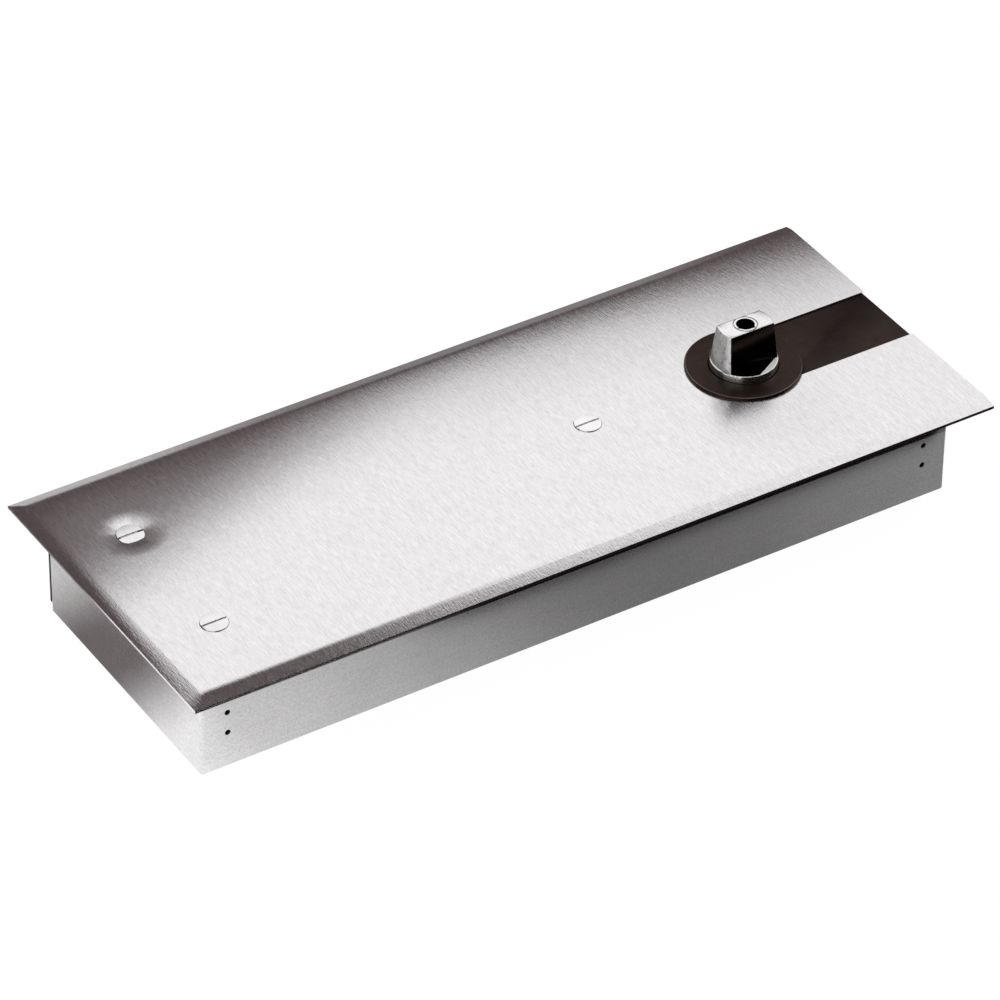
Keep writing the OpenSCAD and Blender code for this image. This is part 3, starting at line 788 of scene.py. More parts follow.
@dataclass(frozen=True)
class GroundSteel(Finish):
    """Turned or ground steel with fine marks and small dark stains.

    Args:
        stain: how strongly the stains show.
        stain_tint: factor of the tone in a stain.
        stain_band: share of their pattern at which the stains start, and at which they are full.
        rings: turned rings about the Z axis.
        marks: fine scratches.
        stains: the pattern of the stains.
        ring_relief: relief of the rings.
        mark_relief: relief of the scratches.
    """

    tone: Colour = (0.76, 0.755, 0.75)
    tints: tuple[float, float] = (0.9, 1.06)
    rough: float = 0.17
    stain: float = 0.35
    stain_tint: float = 0.30
    stain_band: tuple[float, float] = (0.52, 0.66)
    rings: Marks = Marks(2400, 60, Grain.LEVEL)
    marks: Marks = Marks(900, 260, Grain.ALONG_Z, detail=4, rough=0.65)
    stains: Marks = Marks(1000, 520, Grain.ALONG_Z, detail=4, rough=0.6)
    ring_relief: Relief = (0.10, 0.05 * MM)
    mark_relief: Relief = (0.12, 0.06 * MM)

    def skin(self, g: Graph) -> Skin:
        """Rings round the axis, stains and fine scratches.

        Args:
            g: the material's graph.

        Returns:
            Its colour, roughness and normal.
        """
        rings, marks = self.rings.wire(g), self.marks.wire(g)
        stains = g.ramp(self.stains.wire(g), [(self.stain_band[0], 0.0), (self.stain_band[1], 1.0)])
        dark = tuple(c * self.stain_tint for c in self.tone)
        colour = g.blend(stains * self.stain, self.coloured(g, rings), dark)
        rough = self.roughened((marks, 0.14)) + stains * 0.10
        return colour, rough, g.bump(marks, self.mark_relief, g.bump(rings, self.ring_relief))


@dataclass(frozen=True)
class SpindleSteel(GroundSteel):
    """Ground steel on a drive about the Z axis, with painted shade on its flats, in its bore and on the shelves at
    their feet, painted light on its top and on part of the shelves, and a scuffed cone.

    Args:
        flat: distance of a flat from the middle plane at its foot.
        foot: height of the shelf.
        lean: how much a flat leans in, per height.
        top: height of the drive's top.
        spare: how far each part's border is moved, to be sure of its edge.
        chord: slope and reach of the line across the shelf beyond which the shelf takes the painted light, the
            edge of the drive's painted shadow.
        bore: radius of the screw hole, with a little to spare.
        black: colour of the painted shade: the flats' dark reflection, the dark of the bore and the drive's shadow
            on the shelf.
        painted_light: colour of the painted light on the top and on the lit part of the shelf.
        top_painted_light_share: how much of that painted light the top takes.
        scuff: how much less metallic the cone is.
        scuff_rough: how much rougher the cone is.
    """

    flat: float = 6.6 * MM
    foot: float = 4.1 * MM
    lean: float = 0.1364
    top: float = 18.4 * MM
    spare: float = 0.1 * MM
    chord: tuple[float, float] = (0.552, 11.5 * MM)
    bore: float = 4.0 * MM
    black: Colour = (0.014, 0.0095, 0.008)
    painted_light: Colour = (0.90, 0.895, 0.89)
    top_painted_light_share: float = 0.85
    scuff: float = 0.35
    scuff_rough: float = 0.12

    def paint(self, g: Graph) -> None:
        """Steel with painted light on top, painted shade on the flats and in the bore, and on the shelf a painted
        shadow and a painted lit part.

        Args:
            g: the material's graph.
        """
        colour, rough, normal = self.skin(g)
        x, y, z = g.axes()
        drive = z > self.foot + self.spare
        flat = (abs(y) + (z - self.foot) * self.lean > self.flat - self.spare) * drive
        top = z > self.top - self.spare / 2
        bore = (1 - (x * x + y * y > self.bore ** 2)) * (1 - top)
        cone = drive * (1 - flat) * (1 - top) * (1 - bore)
        shelf = (z > self.foot - self.spare) * (1 - drive) * (abs(y) > self.flat)
        painted_lit_shelf = shelf * (abs(y) + x * self.chord[0] > self.chord[1])
        # Painted light: the top is lightened.
        colour = g.blend(top * self.top_painted_light_share, colour, self.painted_light)
        # Painted shade on the flats, in the bore and on the shelf; beyond the shadow's edge the shelf is painted
        # light and made non-metallic.
        colour = g.blend(painted_lit_shelf, g.blend(flat + bore + shelf, colour, self.black), self.painted_light)
        g.surface(Base_Color=colour, Metallic=1 - cone * self.scuff - painted_lit_shelf, Normal=normal,
                  Roughness=rough + cone * self.scuff_rough)


@dataclass(frozen=True)
class DarkSatin(Finish):
    """Dark brown satin coat on steel, with a fine tooth and, on a round piece, a painted highlight along its rim.

    Args:
        painted_highlight_tone: colour of the painted highlight on the rim.
        rim: radii between which the rim takes the painted highlight, and 0 where there is none.
        tooth: the fine tooth.
        lines: faint lines along the piece.
        cloud: soft clouds in colour and gloss.
        tooth_relief: relief of the tooth.
        cloud_relief: relief of the clouds.
    """

    tone: Colour = (0.036, 0.0235, 0.0195)
    tints: tuple[float, float] = (0.75, 1.45)
    band: tuple[float, float] = (0.38, 0.64)
    rough: float = 0.42
    painted_highlight_tone: Colour = (0.20, 0.165, 0.15)
    rim: tuple[float, float] = (0.0, 0.0)
    tooth: Marks = Marks(2600)
    lines: Marks = Marks(1300, 160, Grain.ALONG_X, detail=3)
    cloud: Marks = Marks(60, detail=4, rough=0.6)
    tooth_relief: Relief = (0.10, 0.06 * MM)
    cloud_relief: Relief = (0.10, 0.3 * MM)

    def skin(self, g: Graph) -> Skin:
        """Fine tooth, soft clouds and the painted highlight on the rim.

        Args:
            g: the material's graph.

        Returns:
            Its colour, roughness and normal.
        """
        tooth, lines, cloud = (marks.wire(g) for marks in (self.tooth, self.lines, self.cloud))
        colour = self.coloured(g, cloud * 0.55 + lines * 0.25 + tooth * 0.2)
        if self.rim[1] > 0:
            # Painted highlight along the rolled rim, strongest on its lit side.
            colour = g.blend(self.painted_highlight_share(g, cloud), colour, self.painted_highlight_tone)
        rough = self.roughened((cloud, 0.16), (tooth, 0.08))
        return colour, rough, g.bump(tooth, self.tooth_relief, g.bump(cloud, self.cloud_relief))

    def painted_highlight_share(self, g: Graph, cloud: Wire) -> Wire:
        """How much painted highlight the rim takes, unevenly and most of all toward -X and -Y, where its rounded
        edge catches the light.

        Args:
            g: the material's graph.
            cloud: the pattern that it is uneven by.

        Returns:
            The share of the painted highlight's colour.
        """
        x, y, _ = g.axes()
        far = x * x + y * y
        inner, outer = self.rim
        ring = (far > inner ** 2) * (1 - (far > outer ** 2))
        side = g.ramp((x + y) * (-0.35 / outer) + 0.5, [(0.35, 0.15), (0.65, 1.0)])
        return ring * side * g.ramp(cloud, [(0.3, 0.35), (0.6, 1.0)])


@dataclass(frozen=True)
class CastIron(Finish):
    """Sand-cast iron with a film of oil.

    Args:
        pits: the cast skin's pits.
        patch: patches where the oil lies.
        pit_relief: relief of the pits.
    """

    tone: Colour = (0.20, 0.205, 0.21)
    tints: tuple[float, float] = (0.7, 1.3)
    band: tuple[float, float] = (0.35, 0.65)
    rough: float = 0.46
    metal: float = 0.75
    pits: Marks = Marks(700, detail=5, rough=0.6)
    patch: Marks = Marks(40, detail=3)
    pit_relief: Relief = (0.4, 0.3 * MM)

    def skin(self, g: Graph) -> Skin:
        """Cast skin with pits.

        Args:
            g: the material's graph.

        Returns:
            Its colour, roughness and normal.
        """
        pits, patch = self.pits.wire(g), self.patch.wire(g)
        colour = self.coloured(g, pits * 0.6 + patch * 0.4)
        return colour, self.roughened((patch, 0.2)), g.bump(pits, self.pit_relief)


@dataclass(frozen=True)
class PlainMetal(Finish):
    """Turned fixing metal, such as brass or plated steel.

    Args:
        marks: fine turning marks.
        patina: the patina.
        mark_relief: relief of the marks.
    """

    tone: Colour = (0.7, 0.7, 0.7)
    tints: tuple[float, float] = (0.82, 1.06)
    band: tuple[float, float] = (0.35, 0.68)
    rough: float = 0.28
    marks: Marks = Marks(1400, detail=3)
    patina: Marks = Marks(110, detail=4, rough=0.6)
    mark_relief: Relief = (0.08, 0.05 * MM)

    def skin(self, g: Graph) -> Skin:
        """Fine turning marks with a soft patina."""
        marks, patina = self.marks.wire(g), self.patina.wire(g)
        return self.coloured(g, patina), self.roughened((marks, 0.12)), g.bump(marks, self.mark_relief)


@dataclass(frozen=True)
class Rubber(Finish):
    """Black seal rubber.

    Args:
        tooth: the fine tooth.
        tooth_relief: relief of the tooth.
    """

    tone: Colour = (0.018, 0.018, 0.018)
    tints: tuple[float, float] = (0.7, 1.6)
    rough: float = 0.62
    metal: float = 0.0
    tooth: Marks = Marks(1800)
    tooth_relief: Relief = (0.15, 0.1 * MM)

    def skin(self, g: Graph) -> Skin:
        """Dull skin with a fine tooth."""
        tooth = self.tooth.wire(g)
        return self.coloured(g, tooth), self.roughened((tooth, 0.15)), g.bump(tooth, self.tooth_relief)


COVER = BrushedSheet("brushed_cover")
BOX = BoxZinc("zinc_box")
TRIM = DarkSatin("dark_trim_satin")
ROSETTE = DarkSatin("dark_rosette_satin", rim=(20.75 * MM, 21.05 * MM))
SPINDLE = SpindleSteel("spindle_steel", stain=0.7)
SCREW = PlainMetal("screw_steel_turned", (0.95, 0.945, 0.94), (0.92, 1.06), rough=0.22)
OXIDE = PlainMetal("oxide_black", (0.03, 0.027, 0.026), rough=0.5)
SLOT_FINISH: dict[str, Finish] = {
    "cover_steel": COVER,
    "dark_trim": TRIM,
    "box_sheet": BOX,
    "zinc_fixings": PlainMetal("zinc_plate", (0.66, 0.67, 0.68), rough=0.30),
    "screw_steel": SCREW,
    "cast_body": CastIron("cast_body_iron"),
    "hard_steel": GroundSteel("hard_steel_ground", stain=0.12),
    "spring_steel": PlainMetal("oiled_spring_wire", (0.16, 0.16, 0.165), rough=0.32),
    "brass_parts": PlainMetal("turned_brass", (0.72, 0.52, 0.24), rough=0.26),
    "seal_rubber": Rubber("seal_rubber_black"),
}


# ---------------------------------------------------------------- sub-assemblies


@dataclass
class SubAssembly:
    """A group of pieces made for one body of the closer.

    Args:
        body: the body that its pieces ride on.
    """

    body: str = "closer"

    def hand_over(self, piece: bpy.types.Object, finish: Finish, slot: str, *nodes: str) -> None:
        """Dresses a finished piece and sets it on its body.

        Args:
            piece: the finished piece.
            finish: what it is dressed with.
            slot: the record's material slot; not used.
            nodes: the CAD nodes that it stands for.
        """
        Bench.clear()
        finish.dress(piece)
        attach(piece, self.body)
        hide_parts(*nodes)
        log.info("%s: %d faces", piece.name, len(piece.data.polygons))


@dataclass(frozen=True)
class ScrewPlace:
    """Where a cover screw sits, the length of its shank, how deep it has drawn the sheet, and its lean.

    Args:
        x: place along the plate.
        y: place across the plate.
        depth: length of the shank below the plate's face.
        sink: height of its head's seat, below zero where the sheet is drawn down.
        lean: lean of the head toward the front, in degrees.
    """

    x: float
    y: float
    depth: float
    sink: float
    lean: float = 0.0


@dataclass
class CoverScrews(SubAssembly):
    """The three slotted countersunk screws of the cover plate.

    Args:
        head_r: radius of a head.
        thread_r: radius of a shank.
        rise: height of the head's crown above its seat.
        edge: how far the seat's cone stops short of the head's rim.
        crown: corners of the crown, as (inset from the rim, depth below the top).
        point: chamfer of the shank's end, in and up.
        slot_half: half width of the slot in a head.
        slot_depth: depth of that slot.
        pair_x: place of the pair along the plate.
        pair_half: distance of each of the pair from the middle.
        pair_depth: length of their shanks below the plate's face.
        single_x: place of the single screw along the plate.
        single_depth: length of its shank below the plate's face.
    """

    head_r: float = 5.0 * MM
    thread_r: float = 2.5 * MM
    rise: float = 0.5 * MM
    edge: float = 0.02 * MM
    crown: tuple[tuple[float, float], ...] = (
        (0.0, 0.44 * MM), (0.04 * MM, 0.21 * MM), (0.16 * MM, 0.12 * MM), (1.7 * MM, 0.04 * MM),
        (4.0 * MM, 0.0))
    point: tuple[float, float] = (0.4 * MM, 0.5 * MM)
    slot_half: float = 0.45 * MM
    slot_depth: float = 1.3 * MM
    pair_x: float = -234.5 * MM
    pair_half: float = 28.7 * MM
    pair_depth: float = 13.5 * MM
    single_x: float = -66.3 * MM
    single_depth: float = 10.0 * MM

    def places(self) -> tuple[ScrewPlace, ...]:
        """The pair at the far end, of which the back one is overtightened, and the single screw.

        Returns:
            The places, back one first.
        """
        return (ScrewPlace(self.pair_x, self.pair_half, self.pair_depth, sink=-0.9 * MM, lean=6.0),
                ScrewPlace(self.pair_x, -self.pair_half, self.pair_depth, sink=-0.06 * MM),
                ScrewPlace(self.single_x, 0.0, self.single_depth, sink=-0.04 * MM))

    def one(self, place: ScrewPlace) -> bpy.types.Object:
        """One screw, turned from its profile, with its slot.

        Args:
            place: where it sits.

        Returns:
            The screw in its place.
        """
        r, t, h = self.head_r, self.thread_r, self.rise
        profile = [(t - self.point[0], -place.depth), (t, self.point[1] - place.depth), (t, t - r),
                   (r - self.edge, -self.edge)] + [(r - inset, h - depth) for inset, depth in self.crown]
        screw = Bench.turned("cover_screw", profile, 64)
        Bench.cut(screw, Bench.block("slot", (-r - MM, -self.slot_half, h - self.slot_depth),
                                     (r + MM, self.slot_half, h + MM)))
        Bench.focus(screw)
        screw.location = (place.x, place.y, place.sink)
        screw.rotation_euler = (math.radians(place.lean), 0, 0)
        bpy.ops.object.transform_apply(location=True, rotation=True, scale=False)
        return screw

    def build(self) -> None:
        """Makes the screws as one piece."""
        made = [self.one(place) for place in self.places()]
        Bench.focus(made[0])
        for screw in made[1:]:
            screw.select_set(True)
        bpy.ops.object.join()
        screws = Bench.named("cover_screws_slotted")
        Bench.smooth(screws, 28)
        self.hand_over(screws, SCREW, "screw_steel", "cover_screws")


@dataclass
class CoverPlate(SubAssembly):
    """The brushed cover, with three sides pressed down and the sheet drawn in round its screws.

    Args:
        front: from the spindle axis to the plate's square end.
        length: length of the plate.
        width: width of the plate.
        sheet: thickness of the sheet.
        edge: width of the pressed-down edge.
        drop: how far the edge is pressed down.
        bend: reach of the soft bend along the front edge.
        edge_rows: rows of faces across the pressed edge.
        curl: how late the left and back edges curve down, 1 for a straight slope.
        slot_w: width of the slot.
        hole_r: radius of the round opening at the spindle.
        grid: spacing of the sheet's faces.
        dish_grid: spacing of its faces round a screw.
        dish_rows: how many of those lie on each side of a screw.
        dish_r: reach of the sheet that is drawn down round a screw.
        burr: depth of the burr under the front edge.
        screw_gap: gap between a screw's head and its hole.
        seat: depth of the cone that a head sits in.
        lap: how far a hole's two cuts lap over each other.
        clear: how far a cut reaches past the sheet.
        screws: the screws that hold it.
    """

    front: float = 63.3 * MM
    length: float = 326 * MM
    width: float = 130 * MM
    sheet: float = 0.9 * MM
    edge: float = 6 * MM
    drop: float = 1.0 * MM
    bend: float = 1.3 * MM
    edge_rows: int = 6
    curl: float = 2.4
    slot_w: float = 30.4 * MM
    hole_r: float = 17 * MM
    grid: float = 8 * MM
    dish_grid: float = 1.5 * MM
    dish_rows: int = 14
    dish_r: float = 10 * MM
    burr: float = 0.3 * MM
    screw_gap: float = 0.14 * MM
    seat: float = 1.6 * MM
    lap: float = 0.05 * MM
    clear: float = 5 * MM
    screws: CoverScrews = field(default_factory=CoverScrews)

    def pressed_sheet(self) -> bpy.types.Object:
        """The flat sheet with its three pressed edges and soft bends.

        Returns:
            The sheet, still without thickness.
        """
        back, half = self.front - self.length, self.width / 2
        Bench.clear()
        middle = (back + self.front + self.edge) / 2
        bpy.ops.mesh.primitive_plane_add(size=1, location=(middle, 0, -self.drop))
        bpy.context.object.scale = (self.length + self.edge, self.width, 1)
        plate = Bench.named("cover_sheet_brushed")
        bpy.ops.object.mode_set(mode="EDIT")
        bpy.ops.mesh.select_all(action="SELECT")
        bpy.ops.mesh.inset(thickness=self.edge, depth=self.drop)
        ridge = self.edge - half
        Bench.pick(plate, Pick.EDGE, lambda c, d: c.z > -self.drop / 2 and abs(c.y - ridge) < MM)
        bpy.ops.mesh.bevel(offset=self.bend, segments=6, profile=0.5)
        bpy.ops.mesh.select_all(action="SELECT")
        bpy.ops.mesh.bisect(plane_co=(self.front, 0, 0), plane_no=(1, 0, 0), clear_outer=True)
        bpy.ops.object.mode_set(mode="OBJECT")
        steps = [self.edge * k / self.edge_rows for k in range(1, self.edge_rows)]
        Bench.slice_grid(plate, 0, [back + s for s in steps])
        Bench.slice_grid(plate, 1, [half - s for s in steps])
        for s in steps:
            self.arch(plate, s, lambda c: min(c.x - back, half - c.y))
        return plate

    def arch(self, plate: bpy.types.Object, inset: float, rim: Callable[[Vector], float]) -> None:
        """Lifts one row of the left and back bevels, so that they curve down from the flat.

        Args:
            plate: the sheet.
            inset: distance of the row from the cut edge.
            rim: gives a place's distance from the nearer of the two cut edges.
        """
        out = 1 - inset / self.edge
        front = self.edge - self.width / 2
        near = 0.01 * MM
        Bench.pick(plate, Pick.VERT, lambda c, n: abs(rim(c) - inset) < near and c.y > front + 10 * near)
        bpy.ops.transform.translate(value=(0, 0, self.drop * (out - out ** self.curl)))
        bpy.ops.object.mode_set(mode="OBJECT")

    def draw_round_screws(self, plate: bpy.types.Object) -> None:
        """Draws the sheet down a little round each screw.

        Args:
            plate: the sheet, still without thickness.
        """
        back, flat = self.front - self.length, self.width / 2 - self.edge
        across = int(flat / self.grid)
        lines_x = [back + i * self.grid for i in range(1, int(self.length / self.grid))]
        lines_y = [i * self.grid for i in range(-across, across + 1)]
        for p in self.screws.places():
            steps = [i * self.dish_grid for i in range(-self.dish_rows, self.dish_rows + 1)]
            lines_x += [p.x + step for step in steps]
            lines_y += [p.y + step for step in steps]
        Bench.slice_grid(plate, 0, sorted({round(x, 4) for x in lines_x if back < x < self.front}))
        Bench.slice_grid(plate, 1, sorted({round(y, 4) for y in lines_y if abs(y) < flat}))
        under = self.screws.head_r - MM
        for p in self.screws.places():
            Bench.pick(plate, Pick.VERT, lambda c, n: math.hypot(c.x - p.x, c.y - p.y) < under)
            bpy.ops.transform.translate(
                value=(0, 0, p.sink), use_proportional_edit=True, proportional_edit_falloff="SHARP",
                proportional_size=self.dish_r)
        bpy.ops.object.mode_set(mode="OBJECT")

    def square_rims(self, plate: bpy.types.Object) -> None:
        """Stands the cut edges upright and leaves a small burr under the front one.

        Args:
            plate: the sheet with its thickness.
        """
        back, side, near = self.front - self.length, self.width / 2, 0.6 * MM
        Bench.flatten(plate, 0, back, lambda c, n: c.x < back + near)
        Bench.flatten(plate, 0, self.front, lambda c, n: c.x > self.front - near)
        Bench.flatten(plate, 1, side, lambda c, n: c.y > side - near)
        Bench.flatten(plate, 1, -side, lambda c, n: c.y < near - side)
        low = -self.drop - self.sheet / 2
        Bench.pick(plate, Pick.VERT, lambda c, n: c.z < low and c.y < near - side)
        bpy.ops.transform.translate(value=(0, 0, -self.burr))
        bpy.ops.object.mode_set(mode="OBJECT")

    def build(self) -> None:
        """Makes the plate: sheet, lifts, thickness, slot, round opening and screw holes."""
        plate = self.pressed_sheet()
        self.draw_round_screws(plate)
        Bench.focus(plate)
        thick = plate.modifiers.new("sheet", "SOLIDIFY")
        thick.thickness = self.sheet
        thick.offset = -1
        bpy.ops.object.modifier_apply(modifier=thick.name)
        self.square_rims(plate)
        half, clear = self.slot_w / 2, self.clear
        Bench.cut(plate, Bench.block("slot", (0.0, -half, -clear), (self.front + clear, half, clear)))
        Bench.cut(plate, Bench.post("opening", self.hole_r, -clear, clear, sides=96))
        hole_r = self.screws.head_r + self.screw_gap
        for p in self.screws.places():
            Bench.cut(plate, Bench.post("hole", hole_r - self.seat, p.sink - self.seat, p.sink, (p.x, p.y),
                                        top_r=hole_r))
            Bench.cut(plate, Bench.post("hole", hole_r, p.sink - self.lap, clear, (p.x, p.y)))
        Bench.smooth(plate, 25)
        self.hand_over(plate, COVER, "cover_steel", "cover_plate")


@dataclass
class SlotTrim(SubAssembly):
    """The dark strip that closes the slot, and the rosette round the spindle.

    Args:
        slot_half: half width of the strip's raised rib.
        wing_half: half width over the wings that lie under the plate.
        top: height of the rib's top.
        wing_top: height of the wings' top.
        low: height of the strip's underside.
        end: place of the strip's front end.
        clear_r: radius of the strip's opening at the spindle.
        strip_round: rounding of the strip's edges.
        rosette_r: outer radius of the rosette.
        rosette_in_r: inner radius of the rosette.
        rosette_h: height of the rosette's top.
        spigot_r: radius of the rosette's foot.
        spigot_z: height of the foot's underside.
        rim_round: rounding of the rosette's outer rim.
        lip_round: rounding of its inner rim.
    """

    slot_half: float = 15.1 * MM
    wing_half: float = 20.1 * MM
    top: float = -0.6 * MM
    wing_top: float = -0.9 * MM
    low: float = -2.2 * MM
    end: float = 62.7 * MM
    clear_r: float = 17.2 * MM
    strip_round: float = 0.12 * MM
    rosette_r: float = 21.3 * MM
    rosette_in_r: float = 12.75 * MM
    rosette_h: float = 1.1 * MM
    spigot_r: float = 16.9 * MM
    spigot_z: float = -1.5 * MM
    rim_round: float = 0.45 * MM
    lip_round: float = 0.3 * MM

    def strip(self) -> None:
        """The strip, with wings that lie under the plate."""
        strip = Bench.block("slot_strip_dark", (0, -self.wing_half, self.low),
                            (self.end, self.wing_half, self.wing_top))
        Bench.cut(strip, Bench.block("rib", (0, -self.slot_half, self.low + 0.1 * MM),
                                     (self.end, self.slot_half, self.top)), join=True)
        Bench.cut(strip, Bench.post("clear", self.clear_r, self.low - MM, self.top + MM, sides=96))
        Bench.round_edges(strip, self.strip_round, 2)
        Bench.smooth(strip)
        self.hand_over(strip, TRIM, "dark_trim", "slot_strip")

    def rosette(self) -> None:
        """The rosette, turned from its profile with rolled rims."""
        outer, inner, top, foot = self.rosette_r, self.rosette_in_r, self.rosette_h, self.spigot_r
        rim = Bench.arc(self.rim_round, outer - self.rim_round, top - self.rim_round, (90, 65, 40, 20, 0))
        lip = Bench.arc(self.lip_round, inner + self.lip_round, top - self.lip_round, (0, -30, -60, -90))
        profile = [(inner, self.spigot_z), (foot, self.spigot_z), (foot, 0), (outer, 0)] + rim + lip
        rosette = Bench.turned("rosette_dark", profile, 128, ring=True)
        Bench.smooth(rosette, 40)
        self.hand_over(rosette, ROSETTE, "dark_trim", "spindle_rosette")

    def build(self) -> None:
        """Makes both."""
        self.strip()
        self.rosette()


@dataclass
class Spindle(SubAssembly):
    """The spindle with its collar and tapered, flat-sided drive.

    Args:
        body: the body that it turns with.
        foot_r: radius of the foot, below the cam seat.
        seat_r: radius of the cam seat.
        collar_r: radius of the collar.
        foot_z: height of the foot's end.
        foot_chamfer: chamfer of the foot's end.
        shoulder_z: height where the cam seat starts.
        cam_z: height where the collar starts.
        collar_z: height of the collar's top.
        collar_rim: corners of the collar's rounded top, as (inset, depth).
        drive_h: height of the drive above the collar.
        drive_foot_r: radius of the drive's cone at its foot.
        drive_top_r: radius of that cone at its top.
        flat_foot: distance of a flat from the middle plane at its foot.
        flat_top: the same at its top.
        lap: how far the drive reaches into the collar.
        top_chamfer: chamfer of the drive's top.
        edge_round: rounding of the drive's other edges.
        tap_r: radius of the screw hole.
        tap_depth: depth of the screw hole.
        mouth_r: inner radius of the ring turned round the screw hole.
        mouth_w: width of that ring.
        mouth_depth: depth of that ring.
        key: the keyway's half width, inner and outer distance from the axis, and the height of its end.
    """

    body: str = "spindle_body"
    foot_r: float = 8.0 * MM
    seat_r: float = 9.5 * MM
    collar_r: float = 12.45 * MM
    foot_z: float = -36.1 * MM
    foot_chamfer: float = 0.6 * MM
    shoulder_z: float = -29.3 * MM
    cam_z: float = -17.5 * MM
    collar_z: float = 4.1 * MM
    collar_rim: tuple[tuple[float, float], ...] = ((0.0, 0.55 * MM), (0.14 * MM, 0.2 * MM), (0.5 * MM, 0.0))
    drive_h: float = 14.3 * MM
    drive_foot_r: float = 12.0 * MM
    drive_top_r: float = 10.3 * MM
    flat_foot: float = 6.6 * MM
    flat_top: float = 4.65 * MM
    lap: float = 0.4 * MM
    top_chamfer: float = 0.45 * MM
    edge_round: float = 0.16 * MM
    tap_r: float = 3.4 * MM
    tap_depth: float = 22.4 * MM
    mouth_r: float = 4.1 * MM
    mouth_w: float = 0.5 * MM
    mouth_depth: float = 0.9 * MM
    key: tuple[float, float, float, float] = (2 * MM, 7.5 * MM, 20 * MM, -26.5 * MM)

    def drive(self) -> bpy.types.Object:
        """The tapered drive with its two tapering flats and small chamfers.

        Returns:
            The drive, to be joined to the shaft.
        """
        top = self.collar_z + self.drive_h
        drive = Bench.post("drive", self.drive_foot_r, self.collar_z - self.lap, top, sides=128,
                           top_r=self.drive_top_r)
        lean = math.atan2(self.flat_foot - self.flat_top, self.drive_h)
        for side in (-1, 1):
            Bench.pick(drive, Pick.FACE, lambda c, n: True)
            bpy.ops.mesh.bisect(plane_co=(0, side * self.flat_foot, self.collar_z),
                                plane_no=(0, side * math.cos(lean), math.sin(lean)),
                                use_fill=True, clear_outer=True)
        bpy.ops.object.mode_set(mode="OBJECT")
        found = Bench.pick(drive, Pick.EDGE, lambda c, d: c.z > top - 0.05 * MM)
        bpy.ops.mesh.bevel(offset=self.top_chamfer, segments=2, profile=0.5)
        bpy.ops.object.mode_set(mode="OBJECT")
        log.info("drive: %d top edges chamfered", found)
        Bench.round_edges(drive, self.edge_round, 2, 42)
        return drive

    def build(self) -> None:
        """Turns the shaft, joins the drive on, and cuts the screw hole and the keyway."""
        collar = [(self.collar_r - inset, self.collar_z - depth) for inset, depth in self.collar_rim]
        foot = [(self.foot_r - self.foot_chamfer, self.foot_z),
                (self.foot_r, self.foot_z + self.foot_chamfer), (self.foot_r, self.shoulder_z)]
        seat = [(self.seat_r, self.shoulder_z), (self.seat_r, self.cam_z), (self.collar_r, self.cam_z)]
        shaft = Bench.turned("spindle_ground", foot + seat + collar, 128)
        Bench.cut(shaft, self.drive(), join=True)
        top = self.collar_z + self.drive_h
        Bench.cut(shaft, Bench.post("tap", self.tap_r, top - self.tap_depth, top + MM))
        inner, outer, low = self.mouth_r, self.mouth_r + self.mouth_w, top - self.mouth_depth
        ring = [(inner, low), (outer, low), (outer, top + MM), (inner, top + MM)]
        Bench.cut(shaft, Bench.turned("mouth", ring, 64, ring=True))
        half, inner, outer, low = self.key
        Bench.cut(shaft, Bench.block("keyway", (-half, inner, low), (half, outer, self.cam_z)))
        Bench.smooth(shaft, 25)
        self.hand_over(shaft, SPINDLE, "hard_steel", "spindle")


